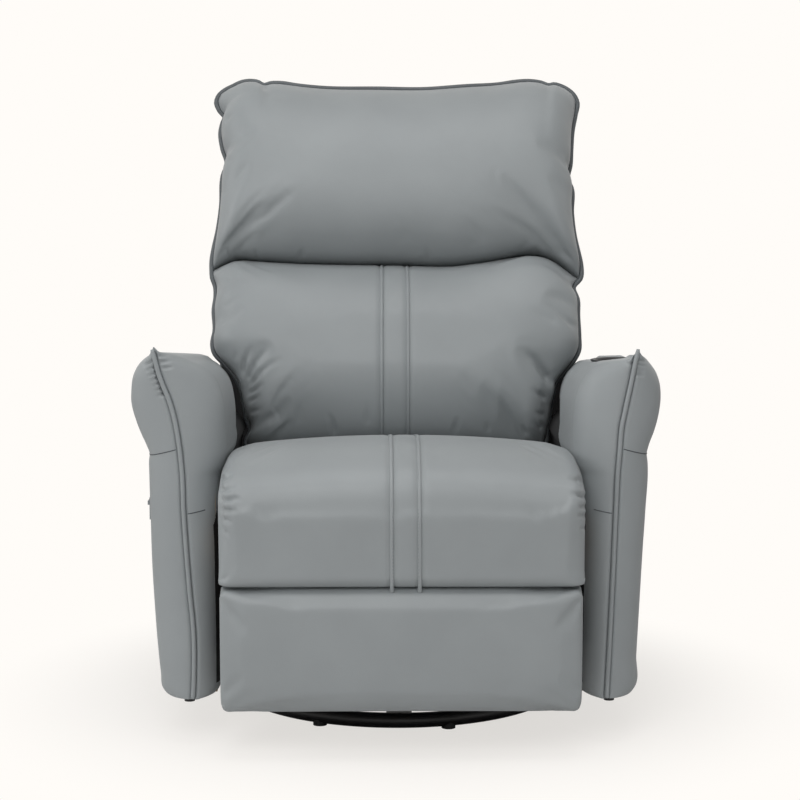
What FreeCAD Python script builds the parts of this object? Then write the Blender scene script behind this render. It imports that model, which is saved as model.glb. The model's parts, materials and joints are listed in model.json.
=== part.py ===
import FreeCAD, Part
import math
import os
import re
from types import SimpleNamespace

import Sketcher

# Swivel rocker recliner, millimetres, +Z up, sitter faces -Y, swivel axis on Z.

SIZES = [
    # Shared fits and fasteners
    ("pin_r", 4.0, "radius of the link pivot pins"),
    ("pin_head_r", 7.0, "radius of a pin's head"),
    ("pin_head_t", 2.2, "thickness of a pin's head"),
    ("fit", 0.05, "radial clearance of a pin in its hole"),
    ("soft_gap", 0.3, "gap between padding and its neighbour"),
    ("link_t", 3.0, "thickness of links and plates"),
    ("layer_gap", 0.5, "gap between two layers of the linkage"),
    # Ring base
    ("glide_t", 3.0, "height of the floor glides"),
    ("glide_r", 11.0, "radius of the floor glides"),
    ("glide_count", 8, "number of floor glides"),
    ("ring_r", 266.0, "radius of the ring's centre line"),
    ("ring_tube_r", 12.0, "radius of the ring's tube"),
    ("cross_w", 40.0, "width of the ring's cross bars"),
    ("cross_t", 18.0, "height of the ring's cross bars"),
    # Swivel bearing
    ("swivel_t", 3.0, "thickness of the swivel plates"),
    ("swivel_low_r", 95.0, "radius of the lower swivel plate"),
    ("swivel_top_r", 132.0, "radius of the upper swivel plate"),
    ("race_r", 72.0, "radius of the ball race"),
    ("ball_r", 4.0, "radius of a bearing ball with its play"),
    ("ball_play", 0.05, "play of a bearing ball"),
    ("ball_count", 16, "number of bearing balls"),
    ("king_r", 10.0, "radius of the swivel pin"),
    # Rocker
    ("rail_in", 170.0, "inner face of a rocker rail from the middle"),
    ("rail_w", 34.0, "width of a rocker rail"),
    ("rail_wall", 3.0, "wall of a rocker rail"),
    ("rail_tall", 26.0, "height of a rocker rail"),
    ("rail_long", 400.0, "length of a rocker rail"),
    ("rocker_z", 88.0, "height of the rocker pivot"),
    ("rocker_pin_r", 8.0, "radius of the rocker pivot pin"),
    ("ear_r", 17.0, "radius of a rail's pivot ear"),
    ("cam_t", 22.0, "thickness of a rocker cam"),
    ("cam_r", 300.0, "radius of the cam's curved foot"),
    ("cam_drop", 26.0, "cam foot below the rocker pivot"),
    ("cam_half", 150.0, "half length of a cam"),
    ("cam_window_r", 34.0, "end radius of the cam's lightening slot"),
    ("rock_limit", 8.0, "rocking angle each way, degrees"),
    ("stop_y", 130.0, "rubber stops from the rocker pivot"),
    ("stop_r", 8.0, "radius of a rubber stop"),
    ("member_y", 105.0, "rocker cross members from the middle"),
    ("member_w", 40.0, "width of a rocker cross member"),
    ("member_t", 18.0, "height of a rocker cross member"),
    ("coil_x", 120.0, "rocker springs from the middle"),
    ("coil_r", 16.0, "mean radius of a rocker spring"),
    ("coil_wire_r", 2.2, "wire radius of a rocker spring"),
    ("coil_turns", 5, "turns of a rocker spring"),
    ("coil_bar_z", 140.0, "underside of the bars over the springs"),
    ("coil_bar_t", 6.0, "thickness of the bars over the springs"),
    # Seat frame
    ("tube_y", 120.0, "cross tubes from the middle"),
    ("tube_w", 30.0, "side of a square cross tube"),
    ("tube_wall", 2.0, "wall of a cross tube"),
    ("tube_z", 258.0, "underside of the cross tubes"),
    ("plate_in", 256.0, "inner face of the seat plates from the middle"),
    ("rail_thick", 24.0, "thickness of the wooden seat rails"),
    ("rail_deep", 57.0, "height of the wooden seat rails"),
    ("seat_frame_front", -376.0, "front of the seat frame"),
    ("seat_frame_rear", 140.0, "rear of the seat frame"),
    ("zigzag_wire_r", 1.9, "wire radius of the seat springs"),
    ("zigzag_half", 20.0, "half width of a seat spring"),
    ("zigzag_bend_r", 13.0, "bend radius of a seat spring"),
    ("zigzag_count", 4, "number of seat springs"),
    ("zigzag_pitch", 115.0, "distance between seat springs"),
    # Seat cushion
    ("seat_half", 267.0, "half width of the seat cushion"),
    ("seat_front", -450.0, "front of the seat cushion"),
    ("seat_rear", 128.0, "rear of the seat cushion"),
    ("seat_top", 453.0, "top edge of the seat cushion at the front"),
    ("seat_rear_top", 439.0, "top edge of the seat cushion at the rear"),
    ("seat_crown", 16.0, "rise of the seat's crown"),
    ("seat_side_drop", 40.0, "drop of the seat's top at its sides"),
    ("seat_side_draw", 24.0, "draw-in of the seat's front at its sides"),
    ("seat_nose", 120.0, "depth of the seat's rolled front"),
    ("seat_nose_swell", 22.0, "swell of the seat's rolled front"),
    ("apron_belly", 92.0, "fullest height of the waterfall front above its edge"),
    ("apron_swell", 7.0, "swell of the waterfall front"),
    ("apron_tuck", 10.0, "tuck of the waterfall's lower edge"),
    ("apron_bottom", 261.0, "lower edge of the waterfall front"),
    # Footrest
    ("foot_half", 265.0, "half width of the footrest pad"),
    ("foot_bottom", 69.0, "lower edge of the footrest pad"),
    ("foot_top", 259.0, "upper edge of the footrest pad"),
    ("foot_front", -447.0, "front of the footrest pad"),
    ("board_rear", -385.0, "rear face of the footrest board"),
    ("board_t", 15.0, "thickness of the footrest board"),
    ("board_margin", 9.0, "pad past the edge of the board"),
    ("foot_draw", 22.0, "draw-in of the footrest pad at its sides"),
    ("foot_corner", 5.0, "rise of the footrest pad's lower corners"),
    ("foot_tuck", 12.0, "tuck of the footrest pad's edges"),
    ("foot_swell", 5.0, "swell of the footrest pad"),
    ("bracket_drop", 70.0, "footrest bracket below the front link's pivot"),
    ("bracket_rise", 30.0, "footrest bracket above the tilt link's pivot"),
    ("bracket_flange", 20.0, "flange of a footrest bracket"),
    # Footrest linkage, side view at rest
    ("seat_pivot_y", -235.0, "rear link's pivot on the seat plate"),
    ("seat_pivot_z", 262.0, "height of the rear link's pivot"),
    ("rear_link", 205.0, "length of the rear link"),
    ("rear_angle", -62.0, "angle of the folded rear link"),
    ("stay_pivot_y", -270.0, "stay link's pivot on the base plate"),
    ("stay_pivot_z", 259.6, "height of the stay link's pivot"),
    ("toe_y", -370.0, "front link's pivot on the footrest"),
    ("toe_z", 180.0, "height of that pivot"),
    ("tip_y", -362.0, "tilt link's pivot on the footrest"),
    ("tip_z", 210.0, "height of that pivot"),
    ("stay_along", 32.7, "stay pivot along the front link"),
    ("stay_off", 20.0, "stay pivot below the front link"),
    ("tilt_along", 184.0, "tilt pivot along the rear link"),
    ("tilt_off", 12.9, "tilt pivot beside the rear link"),
    ("boss_r", 11.0, "end radius of the links"),
    ("stay_play", 1.8, "clearance of the stay link's open pivot"),
    ("tilt_play", 2.2, "clearance of the tilt link's open pivot"),
    ("bar_r", 11.0, "radius of the cross tube between the rear links"),
    ("bar_along", 102.0, "cross tube along the rear links"),
    # Base plates and arm bolts
    ("outer_in", 271.0, "inner face of the base plates from the middle"),
    ("base_boss_r", 18.0, "end radius of the base plates"),
    ("arm_bolt_y", 80.0, "arm bolts from the middle"),
    ("arm_bolt_z", 269.0, "height of the arm bolts"),
    ("arm_bolt_reach", 10.0, "arm bolt's reach into the arm frame"),
    # Arms
    ("arm_in", 280.0, "inner face of an arm from the middle"),
    ("arm_foot", 361.0, "outer face at the bottom of an arm"),
    ("arm_waist", 382.0, "outer face at an arm's side seam"),
    ("arm_bulge", 23.0, "swell of the arm's pillow past the seam"),
    ("arm_side_swell", 2.0, "swell of an arm's side below the seam"),
    ("arm_top_swell", 7.0, "swell of an arm's top"),
    ("arm_inner_swell", 9.0, "swell of an arm's inner shoulder"),
    ("arm_bottom", 71.0, "bottom of an arm"),
    ("arm_seam_z", 436.0, "height of an arm's side seam"),
    ("arm_shoulder_z", 592.0, "height of the outer shoulder at the front"),
    ("arm_inner_z", 577.0, "height of the inner shoulder at the front"),
    ("arm_inner_x", 297.0, "inner shoulder from the middle"),
    ("arm_elbow_z", 500.0, "where the inner face starts to round over"),
    ("arm_fall", 0.10, "fall of the arm's top towards the rear, per length"),
    ("arm_front", -355.0, "front of an arm"),
    ("arm_rear", 222.0, "rear of an arm"),
    ("arm_nose", 34.0, "rounding of an arm's front"),
    ("arm_heel", 10.0, "rounding of an arm's rear"),
    ("arm_board", 12.0, "thickness of an arm frame's panel"),
    ("arm_rib", 38.0, "depth of an arm frame's ribs"),
    ("arm_rib_t", 22.0, "thickness of an arm frame's ribs"),
    ("arm_frame_front", -318.0, "front of an arm frame"),
    ("arm_frame_rear", 202.0, "rear of an arm frame"),
    ("arm_frame_bottom", 75.0, "bottom of an arm frame"),
    ("arm_frame_top", 420.0, "top of an arm frame"),
    ("nub_r", 8.0, "radius of the glides under the arms"),
    ("nub_t", 5.0, "height of the glides under the arms"),
    # Cup holder in the arm on +X
    ("cup_x", 352.0, "cup holder from the middle"),
    ("cup_y", -150.0, "cup holder from the swivel axis"),
    ("cup_top", 577.0, "top of the cup holder's rim"),
    ("cup_r", 36.0, "inner radius of the cup holder"),
    ("cup_wall", 2.0, "wall of the cup holder"),
    ("cup_deep", 68.0, "depth of the cup holder"),
    ("cup_rim_r", 45.0, "radius of the cup holder's rim"),
    ("cup_rim_t", 3.0, "thickness of the cup holder's rim"),
    # Release paddle in the arm on -X
    ("release_y", -240.0, "release paddle from the swivel axis"),
    ("release_z", 356.0, "height of the release paddle"),
    ("bezel_out", 383.0, "outer face of the bezel from the middle"),
    ("bezel_deep", 16.0, "depth of the bezel"),
    ("bezel_half", 55.0, "half length of the bezel"),
    ("bezel_tall", 17.0, "half height of the bezel"),
    ("bezel_wall", 5.5, "frame of the bezel round the paddle"),
    ("bezel_floor", 5.0, "floor of the bezel"),
    ("paddle_gap", 0.8, "gap round the paddle"),
    ("paddle_t", 4.5, "thickness of the paddle"),
    ("paddle_lip", 3.5, "lip of the paddle past the bezel"),
    ("paddle_lip_tall", 6.0, "height of the paddle's lip"),
    ("paddle_pin_r", 2.0, "radius of the paddle's pivot"),
    ("paddle_pin_end", 2.0, "paddle pivot past the paddle"),
    ("cable_r", 2.6, "radius of the release cable"),
    ("cable_bore", 0.6, "clearance of the cable in its bores"),
    ("cable_bend_r", 26.0, "bend radius of the release cable"),
    ("cable_x", 320.0, "cable's run inside the arm, from the middle"),
    ("cable_end_z", 262.0, "height of the cable's inner end"),
    # Back
    ("hinge_y", 236.0, "back hinge from the swivel axis"),
    ("hinge_z", 330.0, "height of the back hinge"),
    ("back_tilt", 15.0, "lean of the closed back, degrees"),
    ("post_w", 26.0, "width of a back post"),
    ("post_t", 28.0, "thickness of the back's frame"),
    ("post_low", 32.0, "lower end of the back posts above the hinge"),
    ("post_high", 640.0, "upper end of the back posts above the hinge"),
    ("bracket_in", 252.5, "inner face of the back brackets from the middle"),
    ("bracket_long", 210.0, "length of a back bracket"),
    ("bracket_r", 13.5, "radius of the back brackets and seat plates at the hinge"),
    ("bracket_tip_r", 12.0, "radius of a back bracket's upper end"),
    ("cross_rail", 42.0, "height of the back's cross rails"),
    ("low_rail_z", 62.0, "lower back rail above the hinge"),
    ("mid_rail_z", 372.0, "middle back rail above the hinge"),
    ("strap_w", 50.0, "width of a webbing strap"),
    ("strap_t", 2.5, "thickness of a webbing strap"),
    ("strap_low", 142.0, "lowest webbing strap above the hinge"),
    ("strap_pitch", 76.0, "distance between webbing straps"),
    ("strap_count", 3, "number of webbing straps"),
    ("panel_t", 14.0, "thickness of the outside back"),
    ("panel_low", -96.0, "lower edge of the outside back"),
    ("panel_half_low", 258.0, "half width of the outside back, lower edge"),
    ("panel_half_top", 300.0, "half width of the outside back, upper edge"),
    ("panel_corner", 24.0, "corner radius of the outside back"),
    ("back_half", 337.0, "half width of the back at the pillows' widest"),
    ("back_half_low", 258.0, "half width of the back between the arms"),
    ("wing_z", 225.0, "lower edge of the wings above the hinge"),
    ("wing_foot", 45.0, "depth of the wings' lower edge"),
    ("wing_front", 72.0, "front of the wings at their outer edge"),
    ("round_from", 190.0, "where the lumbar's front starts to round off, from the middle"),
    ("lumbar_low", 56.0, "lower edge of the lumbar pillow"),
    ("crease_z", 374.0, "crease between the pillows above the hinge"),
    ("crease_gap", 3.0, "gap between the pillows' rear edges"),
    ("lumbar_front", 165.0, "front of the lumbar pillow"),
    ("lumbar_lip", 109.0, "front of the lumbar pillow at the crease"),
    ("lumbar_foot", 119.0, "front of the lumbar pillow at its lower edge"),
    ("lumbar_swell", 12.0, "swell of the lumbar pillow"),
    ("lumbar_belly", 30.0, "fullest height of the lumbar pillow above its middle"),
    ("pillow_side_drop", 14.0, "draw-in of the pillows' edges at their sides"),
    ("head_front", 150.0, "front of the head pillow"),
    ("head_lip", 102.0, "front of the head pillow at the crease"),
    ("head_brow", 50.0, "front of the head pillow at its top"),
    ("head_swell", 14.0, "swell of the head pillow"),
    ("head_draw", 62.0, "draw-in of the head pillow's front at its sides"),
    ("head_cap", 24.0, "height of the head pillow's rear roll"),
    ("head_top", 716.0, "top of the head pillow above the hinge"),
    ("head_over", 30.0, "head pillow behind the frame's middle"),
    ("head_clear", 6.0, "head pillow above the frame"),
]

doc = FreeCAD.newDocument("RockerRecliner")
sheet = doc.addObject("Spreadsheet::Sheet", "Dims")
for row, (alias, value, note) in enumerate(SIZES, start=1):
    sheet.set(f"A{row}", note)
    sheet.set(f"B{row}", str(value))
    sheet.setAlias(f"B{row}", alias)
doc.recompute()

ALIASES = [alias for alias, value, note in SIZES]
S = SimpleNamespace(**{alias: sheet.get(alias) for alias in ALIASES})
V = FreeCAD.Vector
SIDES = (("left", -1), ("right", 1))
PIECES = []


def bind(obj, prop, text):
    """Tie a property to the sheet: each word that is an alias becomes a cell."""
    known = set(ALIASES)
    named = re.sub(r"[a-z]\w*", lambda w: "Dims." + w[0] if w[0] in known else w[0], text)
    obj.setExpression(prop, named)


def place(obj, x="0", y="0", z="0"):
    for axis, text in zip("xyz", (x, y, z)):
        bind(obj, f"Placement.Base.{axis}", text)


def lean(obj, x="0", y="0", z="0"):
    """Place an object in the leaning back's frame: x across, y off its plane, z up along it."""
    obj.Placement = FreeCAD.Placement(V(), FreeCAD.Rotation(V(-1, 0, 0), S.back_tilt))
    bind(obj, "Placement.Rotation.Angle", "back_tilt")
    bind(obj, "Placement.Base.x", x)
    bind(obj, "Placement.Base.y", f"hinge_y + ({y}) * cos(back_tilt) + ({z}) * sin(back_tilt)")
    bind(obj, "Placement.Base.z", f"hinge_z + ({z}) * cos(back_tilt) - ({y}) * sin(back_tilt)")


def piece(obj, label):
    obj.Label = label
    PIECES.append(obj)
    return obj


def mirrored(side, inner, width):
    """Lower x of something that starts at inner on the +X side and is width wide."""
    return f"{inner}" if side > 0 else f"0 - ({inner}) - ({width})"


def box(name, size, corner):
    solid = doc.addObject("Part::Box", name)
    for prop, text in zip(("Length", "Width", "Height"), size):
        bind(solid, prop, text)
    place(solid, *corner)
    return solid


def rod(name, radius, length, start, along="z"):
    """A cylinder that runs from start along +x, +y or +z."""
    solid = doc.addObject("Part::Cylinder", name)
    turns = {"x": (V(0, 1, 0), 90), "y": (V(-1, 0, 0), 90), "z": (V(0, 0, 1), 0)}
    solid.Placement = FreeCAD.Placement(V(), FreeCAD.Rotation(*turns[along]))
    bind(solid, "Radius", radius)
    bind(solid, "Height", length)
    place(solid, *start)
    return solid


def cut(name, base, *tools):
    for number, tool in enumerate(tools):
        step = doc.addObject("Part::Cut", f"{name}_cut{number}")
        step.Base = base
        step.Tool = tool
        base = step
    return base


def fuse(name, *solids):
    joined = doc.addObject("Part::MultiFuse", name)
    joined.Shapes = list(solids)
    return joined


def group(name, solids):
    """Identical loose pieces that share one node."""
    together = doc.addObject("Part::Compound", name)
    together.Links = list(solids)
    return together


def hull_edges(bosses):
    """Outline round circles (a, b, radius), given anticlockwise, joined by common tangents."""
    normals = []
    for (a0, b0, r0), (a1, b1, r1) in zip(bosses, bosses[1:] + bosses[:1]):
        reach = math.hypot(a1 - a0, b1 - b0)
        normals.append(math.atan2(b1 - b0, a1 - a0) - math.acos((r0 - r1) / reach))
    edges = []
    for i, (a, b, r) in enumerate(bosses):
        start, end = normals[i - 1], normals[i]
        while end <= start:
            end += 2 * math.pi
        edges.append(Part.ArcOfCircle(Part.Circle(V(a, b, 0), V(0, 0, 1), r), start, end))
        a1, b1, r1 = bosses[(i + 1) % len(bosses)]
        off = V(math.cos(normals[i]), math.sin(normals[i]), 0)
        edges.append(Part.LineSegment(V(a, b, 0) + off * r, V(a1, b1, 0) + off * r1))
    return edges


def padded_sketch(name, plane, edges, depth, holes=()):
    """A body with one sketch and one pad; holes are (a, b, radius as sheet text)."""
    body = doc.addObject("PartDesign::Body", name)
    sketch = body.newObject("Sketcher::SketchObject", name + "_sketch")
    support = [f for f in body.Origin.OriginFeatures if f.Role == plane][0]
    sketch.AttachmentSupport = [(support, "")]
    sketch.MapMode = "FlatFace"
    for edge in edges:
        sketch.addGeometry(edge, False)
    for a, b, radius in holes:
        ring = sketch.addGeometry(Part.Circle(V(a, b, 0), V(0, 0, 1), S.pin_r), False)
        number = sketch.addConstraint(Sketcher.Constraint("Radius", ring, S.pin_r))
        bind(sketch, f"Constraints[{number}]", radius)
    pad = body.newObject("PartDesign::Pad", name + "_pad")
    pad.Profile = sketch
    bind(pad, "Length", depth)
    return body


def side_plate(label, side, inner, bosses, holes=(), depth="link_t"):
    """A flat plate in a side view plane, inner face at inner from the middle."""
    body = padded_sketch(label, "YZ_Plane", hull_edges(bosses), depth, holes)
    place(body, mirrored(side, inner, depth))
    return body


def revolved(name, corners):
    """A body turned about Z from a closed outline of (radius, height) corners."""
    body = doc.addObject("PartDesign::Body", name)
    sketch = body.newObject("Sketcher::SketchObject", name + "_sketch")
    support = [f for f in body.Origin.OriginFeatures if f.Role == "XZ_Plane"][0]
    sketch.AttachmentSupport = [(support, "")]
    sketch.MapMode = "FlatFace"
    points = [V(r, z, 0) for r, z in corners]
    for start, end in zip(points, points[1:] + points[:1]):
        sketch.addGeometry(Part.LineSegment(start, end), False)
    turn = body.newObject("PartDesign::Revolution", name + "_turn")
    turn.Profile = sketch
    turn.ReferenceAxis = (sketch, ["V_Axis"])
    turn.Angle = 360
    return body


def shaped(label, shape):
    solid = doc.addObject("Part::Feature", label)
    solid.Shape = shape
    return piece(solid, label)


def section(points, to_space):
    """Closed wire through (a, b, swell): each edge swells outwards by its own swell."""
    edges = []
    for (a0, b0, swell), (a1, b1, unused) in zip(points, points[1:] + points[:1]):
        start, end = to_space(a0, b0), to_space(a1, b1)
        if swell == 0:
            edges.append(Part.LineSegment(start, end).toShape())
            continue
        length = math.hypot(a1 - a0, b1 - b0)
        middle_a = (a0 + a1) / 2 + swell * (b1 - b0) / length
        middle_b = (b0 + b1) / 2 - swell * (a1 - a0) / length
        edges.append(Part.Arc(start, to_space(middle_a, middle_b), end).toShape())
    return Part.Wire(edges)


WIDTHS = (0, 0.45, 0.8, 0.92, 0.975, 1)
SQUARENESS = 20


def crossways(half, profile, fractions=WIDTHS, ruled=False):
    """Loft of side-view profiles across the width; inset runs from 0 to 1 close to the sides."""
    wires = []
    for f in [-f for f in reversed(fractions[1:])] + list(fractions):
        x = f * half
        wires.append(section(profile(abs(f) ** SQUARENESS, abs(x)), lambda a, b, x=x: V(x, a, b)))
    return Part.makeLoft(wires, True, ruled)


def wire_tube(edges, radius):
    """A round wire swept along joined edges."""
    path = Part.Wire(edges)
    start = path.Edges[0].valueAt(path.Edges[0].FirstParameter)
    along = path.Edges[0].tangentAt(path.Edges[0].FirstParameter)
    ring = Part.Wire(Part.Circle(start, along, radius).toShape())
    return path.makePipeShell([ring], True, False)


# Ring base
ring_z = "glide_t + ring_tube_r"
ring = doc.addObject("Part::Torus", "ring_tube")
bind(ring, "Radius1", "ring_r")
bind(ring, "Radius2", "ring_tube_r")
place(ring, z=ring_z)
bar_low = f"{ring_z} - cross_t / 2"
bar_x = box("bar_x", ("2 * ring_r", "cross_w", "cross_t"), ("0 - ring_r", "0 - cross_w / 2", bar_low))
bar_y = box("bar_y", ("cross_w", "2 * ring_r", "cross_t"), ("0 - cross_w / 2", "0 - ring_r", bar_low))
piece(fuse("base_ring", ring, bar_x, bar_y), "base_ring")

GLIDE_START = -28.0
glides = []
for k in range(int(S.glide_count)):
    turn = math.radians(GLIDE_START + 360 / S.glide_count * k - 90)
    centre = (f"ring_r * {math.cos(turn)}", f"ring_r * {math.sin(turn)}", "0")
    glides.append(cut(f"glide{k}", rod(f"glide_disc{k}", "glide_r", ring_z, centre), ring))
piece(group("base_glides", glides), "base_glides")

# Swivel bearing
low_z = S.glide_t + S.ring_tube_r + S.cross_t / 2
top_z = low_z + S.swivel_t + 2 * S.ball_r
rail_z = top_z + S.swivel_t
KING_HEAD = 3.0
low_plate = revolved("swivel_lower_plate", [
    (0, low_z), (S.swivel_low_r, low_z), (S.swivel_low_r, low_z + S.swivel_t),
    (S.king_r, low_z + S.swivel_t), (S.king_r, rail_z + KING_HEAD), (0, rail_z + KING_HEAD)])
piece(low_plate, "swivel_lower_plate")
bore = S.king_r + S.fit
top_plate = revolved("swivel_upper_plate", [
    (bore, top_z), (S.swivel_top_r, top_z), (S.swivel_top_r, rail_z), (bore, rail_z)])
piece(top_plate, "swivel_upper_plate")
balls = []
for k in range(int(S.ball_count)):
    turn = 2 * math.pi / S.ball_count * k
    ball = doc.addObject("Part::Sphere", f"ball{k}")
    bind(ball, "Radius", "ball_r - ball_play")
    place(ball, f"race_r * {math.cos(turn)}", f"race_r * {math.sin(turn)}",
          str(low_z + S.swivel_t + S.ball_r))
    balls.append(ball)
piece(group("swivel_balls", balls), "swivel_balls")

# Rocker rails: channels with pivot ears, joined by two cross members
for name, side in SIDES:
    low = mirrored(side, "rail_in", "rail_w")
    floor = box(f"rail_floor_{name}", ("rail_w", "rail_long", "rail_wall"),
                (low, "0 - rail_long / 2", str(rail_z)))
    parts = [floor]
    for wall, inner in (("a", "rail_in"), ("b", "rail_in + rail_w - rail_wall")):
        low = mirrored(side, inner, "rail_wall")
        parts.append(box(f"rail_wall_{name}_{wall}", ("rail_wall", "rail_long", "rail_tall"),
                         (low, "0 - rail_long / 2", str(rail_z))))
        foot = rail_z + S.ear_r
        ear = [(-2 * S.ear_r, foot, S.ear_r), (2 * S.ear_r, foot, S.ear_r), (0, S.rocker_z, S.ear_r)]
        parts.append(side_plate(f"rail_ear_{name}_{wall}", side, inner, ear, depth="rail_wall"))
    rail = fuse(f"rail_{name}", *parts)
    hole = rod(f"rail_hole_{name}", "rocker_pin_r + fit", "rail_w + 2",
               (mirrored(side, "rail_in - 1", "rail_w + 2"), "0", "rocker_z"), "x")
    piece(cut(f"rocker_rail_{name}", rail, hole), f"rocker_rail_{name}")

members = []
for end, sign in (("front", -1), ("rear", 1)):
    members.append(box(f"member_{end}", ("2 * rail_in", "member_w", "member_t"),
                       ("0 - rail_in", f"{sign} * member_y - member_w / 2", str(rail_z))))
piece(group("rocker_crossmembers", members), "rocker_crossmembers")

# Rubber stops in the rails, where the cams' curved feet arrive at the rocking limit
rock = math.radians(S.rock_limit)
foot_z = S.rocker_z - S.cam_drop + S.cam_r
arm_up = foot_z - S.rocker_z
swung_y = arm_up * math.sin(rock)
swung_z = S.rocker_z + arm_up * math.cos(rock)
stop_edge = S.stop_y - S.stop_r
stop_top = swung_z - math.sqrt(S.cam_r ** 2 - (stop_edge - swung_y) ** 2) - S.soft_gap
stops = []
for name, side in SIDES:
    for end, sign in (("front", -1), ("rear", 1)):
        start = (f"{side} * (rail_in + rail_w / 2)", f"{sign} * stop_y", f"{rail_z} + rail_wall")
        stops.append(rod(f"stop_{name}_{end}", "stop_r", f"{stop_top - rail_z} - rail_wall", start))
piece(group("rocker_stops", stops), "rocker_stops")

# Rocker cams, their pivot pins, and the spring bars between them
cam_in = "rail_in + (rail_w - cam_t) / 2"
for name, side in SIDES:
    rise = foot_z - math.sqrt(S.cam_r ** 2 - S.cam_half ** 2)
    left_foot, right_foot = V(-S.cam_half, rise, 0), V(S.cam_half, rise, 0)
    left_top, right_top = V(-S.cam_half, S.tube_z, 0), V(S.cam_half, S.tube_z, 0)
    outline = [
        Part.Arc(left_foot, V(0, foot_z - S.cam_r, 0), right_foot),
        Part.LineSegment(right_foot, right_top),
        Part.LineSegment(right_top, left_top),
        Part.LineSegment(left_top, left_foot)]
    slot_z = (S.tube_z + rise) / 2
    slot_y = S.cam_half - 2 * S.cam_window_r
    slot = hull_edges([(-slot_y, slot_z, S.cam_window_r), (slot_y, slot_z, S.cam_window_r)])
    pivot = [(0, S.rocker_z, "rocker_pin_r + fit")]
    cam = padded_sketch(f"rocker_cam_{name}", "YZ_Plane", outline + slot, "cam_t", pivot)
    place(cam, mirrored(side, cam_in, "cam_t"))
    piece(cam, f"rocker_cam_{name}")
pins = []
for name, side in SIDES:
    pins.append(rod(f"rocker_pin_{name}", "rocker_pin_r", "rail_w + 4",
                    (mirrored(side, "rail_in - 2", "rail_w + 4"), "0", "rocker_z"), "x"))
piece(group("rocker_pins", pins), "rocker_pins")
bars = []
for end, sign in (("front", -1), ("rear", 1)):
    bars.append(box(f"coil_bar_{end}", (f"2 * ({cam_in})", "member_w", "coil_bar_t"),
                    (f"0 - ({cam_in})", f"{sign} * member_y - member_w / 2", "coil_bar_z")))
piece(group("rocker_spring_bars", bars), "rocker_spring_bars")


def coil_spring(x, y, low, high):
    """A compression spring: arcs of a third of a turn that climb at a steady rate."""
    steps = int(S.coil_turns) * 3
    start, climb = low + S.coil_wire_r, (high - low - 2 * S.coil_wire_r) / steps

    def at(step):
        turn = 2 * math.pi * step / 3
        return V(x + S.coil_r * math.cos(turn), y + S.coil_r * math.sin(turn), start + climb * step)

    edges = [Part.Arc(at(k), at(k + 0.5), at(k + 1)).toShape() for k in range(steps)]
    pitch_gap = 3 * climb - 2 * S.coil_wire_r
    print(f"rocker spring gap between turns {pitch_gap:.2f} mm")
    return wire_tube(edges, S.coil_wire_r)


coil_low = rail_z + S.member_t + S.soft_gap
coils = [coil_spring(sx * S.coil_x, sy * S.member_y, coil_low, S.coil_bar_z - S.soft_gap)
         for sx in (-1, 1) for sy in (-1, 1)]
shaped("rocker_springs", Part.makeCompound(coils))

# Cross tubes that carry the seat frame on the cams
for end, sign in (("front", -1), ("rear", 1)):
    low_y = f"{sign} * tube_y - tube_w / 2"
    outer = box(f"tube_{end}", ("2 * outer_in", "tube_w", "tube_w"), ("0 - outer_in", low_y, "tube_z"))
    inner = box(f"tube_bore_{end}", ("2 * outer_in + 2", "tube_w - 2 * tube_wall", "tube_w - 2 * tube_wall"),
                ("0 - outer_in - 1", f"{low_y} + tube_wall", "tube_z + tube_wall"))
    piece(cut(f"cross_tube_{end}", outer, inner), f"cross_tube_{end}")

# Wooden seat rails
rail_low = "tube_z + tube_w"
side_long = "seat_frame_rear - seat_frame_front - rail_thick"
for name, side in SIDES:
    wood = box(f"seat_rail_{name}", ("rail_thick", side_long, "rail_deep"),
               (mirrored(side, "plate_in - rail_thick", "rail_thick"), "seat_frame_front + rail_thick",
                rail_low))
    piece(wood, f"seat_rail_{name}")
piece(box("seat_rail_front", ("2 * plate_in", "rail_thick", "rail_deep"),
          ("0 - plate_in", "seat_frame_front", rail_low)), "seat_rail_front")
between = "2 * (plate_in - rail_thick)"
piece(box("seat_rail_rear", (between, "rail_thick", "rail_deep"),
          ("rail_thick - plate_in", "seat_frame_rear - rail_thick", rail_low)), "seat_rail_rear")


def zigzag(x, front, rear, z):
    """A sinuous spring: runs across, joined by two quarter bends at each turn."""
    r = S.zigzag_bend_r
    count = int((rear - front) // (2 * r))
    y = (front + rear) / 2 - count * r
    edges = []
    reach = S.zigzag_half - r
    for k in range(count):
        s = 1 if k % 2 else -1
        bend = V(x + s * reach, y + r, z)
        edges.append(Part.LineSegment(V(x - s * reach, y, z), V(x + s * reach, y, z)).toShape())
        for a0 in (-90, 0):
            ends = [bend + V(s * r * math.cos(math.radians(a)), r * math.sin(math.radians(a)), 0)
                    for a in (a0, a0 + 45, a0 + 90)]
            edges.append(Part.Arc(*ends).toShape())
        y += 2 * r
    s = -1 if count % 2 else 1
    edges.append(Part.LineSegment(V(x + s * reach, y, z), V(x - s * reach, y, z)).toShape())
    return wire_tube(edges, S.zigzag_wire_r)


spring_z = S.tube_z + S.tube_w + S.rail_deep + S.zigzag_wire_r + S.soft_gap
springs = [zigzag((k - (S.zigzag_count - 1) / 2) * S.zigzag_pitch, S.seat_frame_front + S.zigzag_bend_r,
                  S.seat_frame_rear - S.zigzag_wire_r, spring_z) for k in range(int(S.zigzag_count))]
shaped("seat_springs", Part.makeCompound(springs))


# Seat cushion: crowned top, waterfall front, sides drawn in; it lies on the springs and the front rail
seat_bottom = spring_z + S.zigzag_wire_r + S.soft_gap
apron_rear = S.seat_frame_front - S.soft_gap


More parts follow.
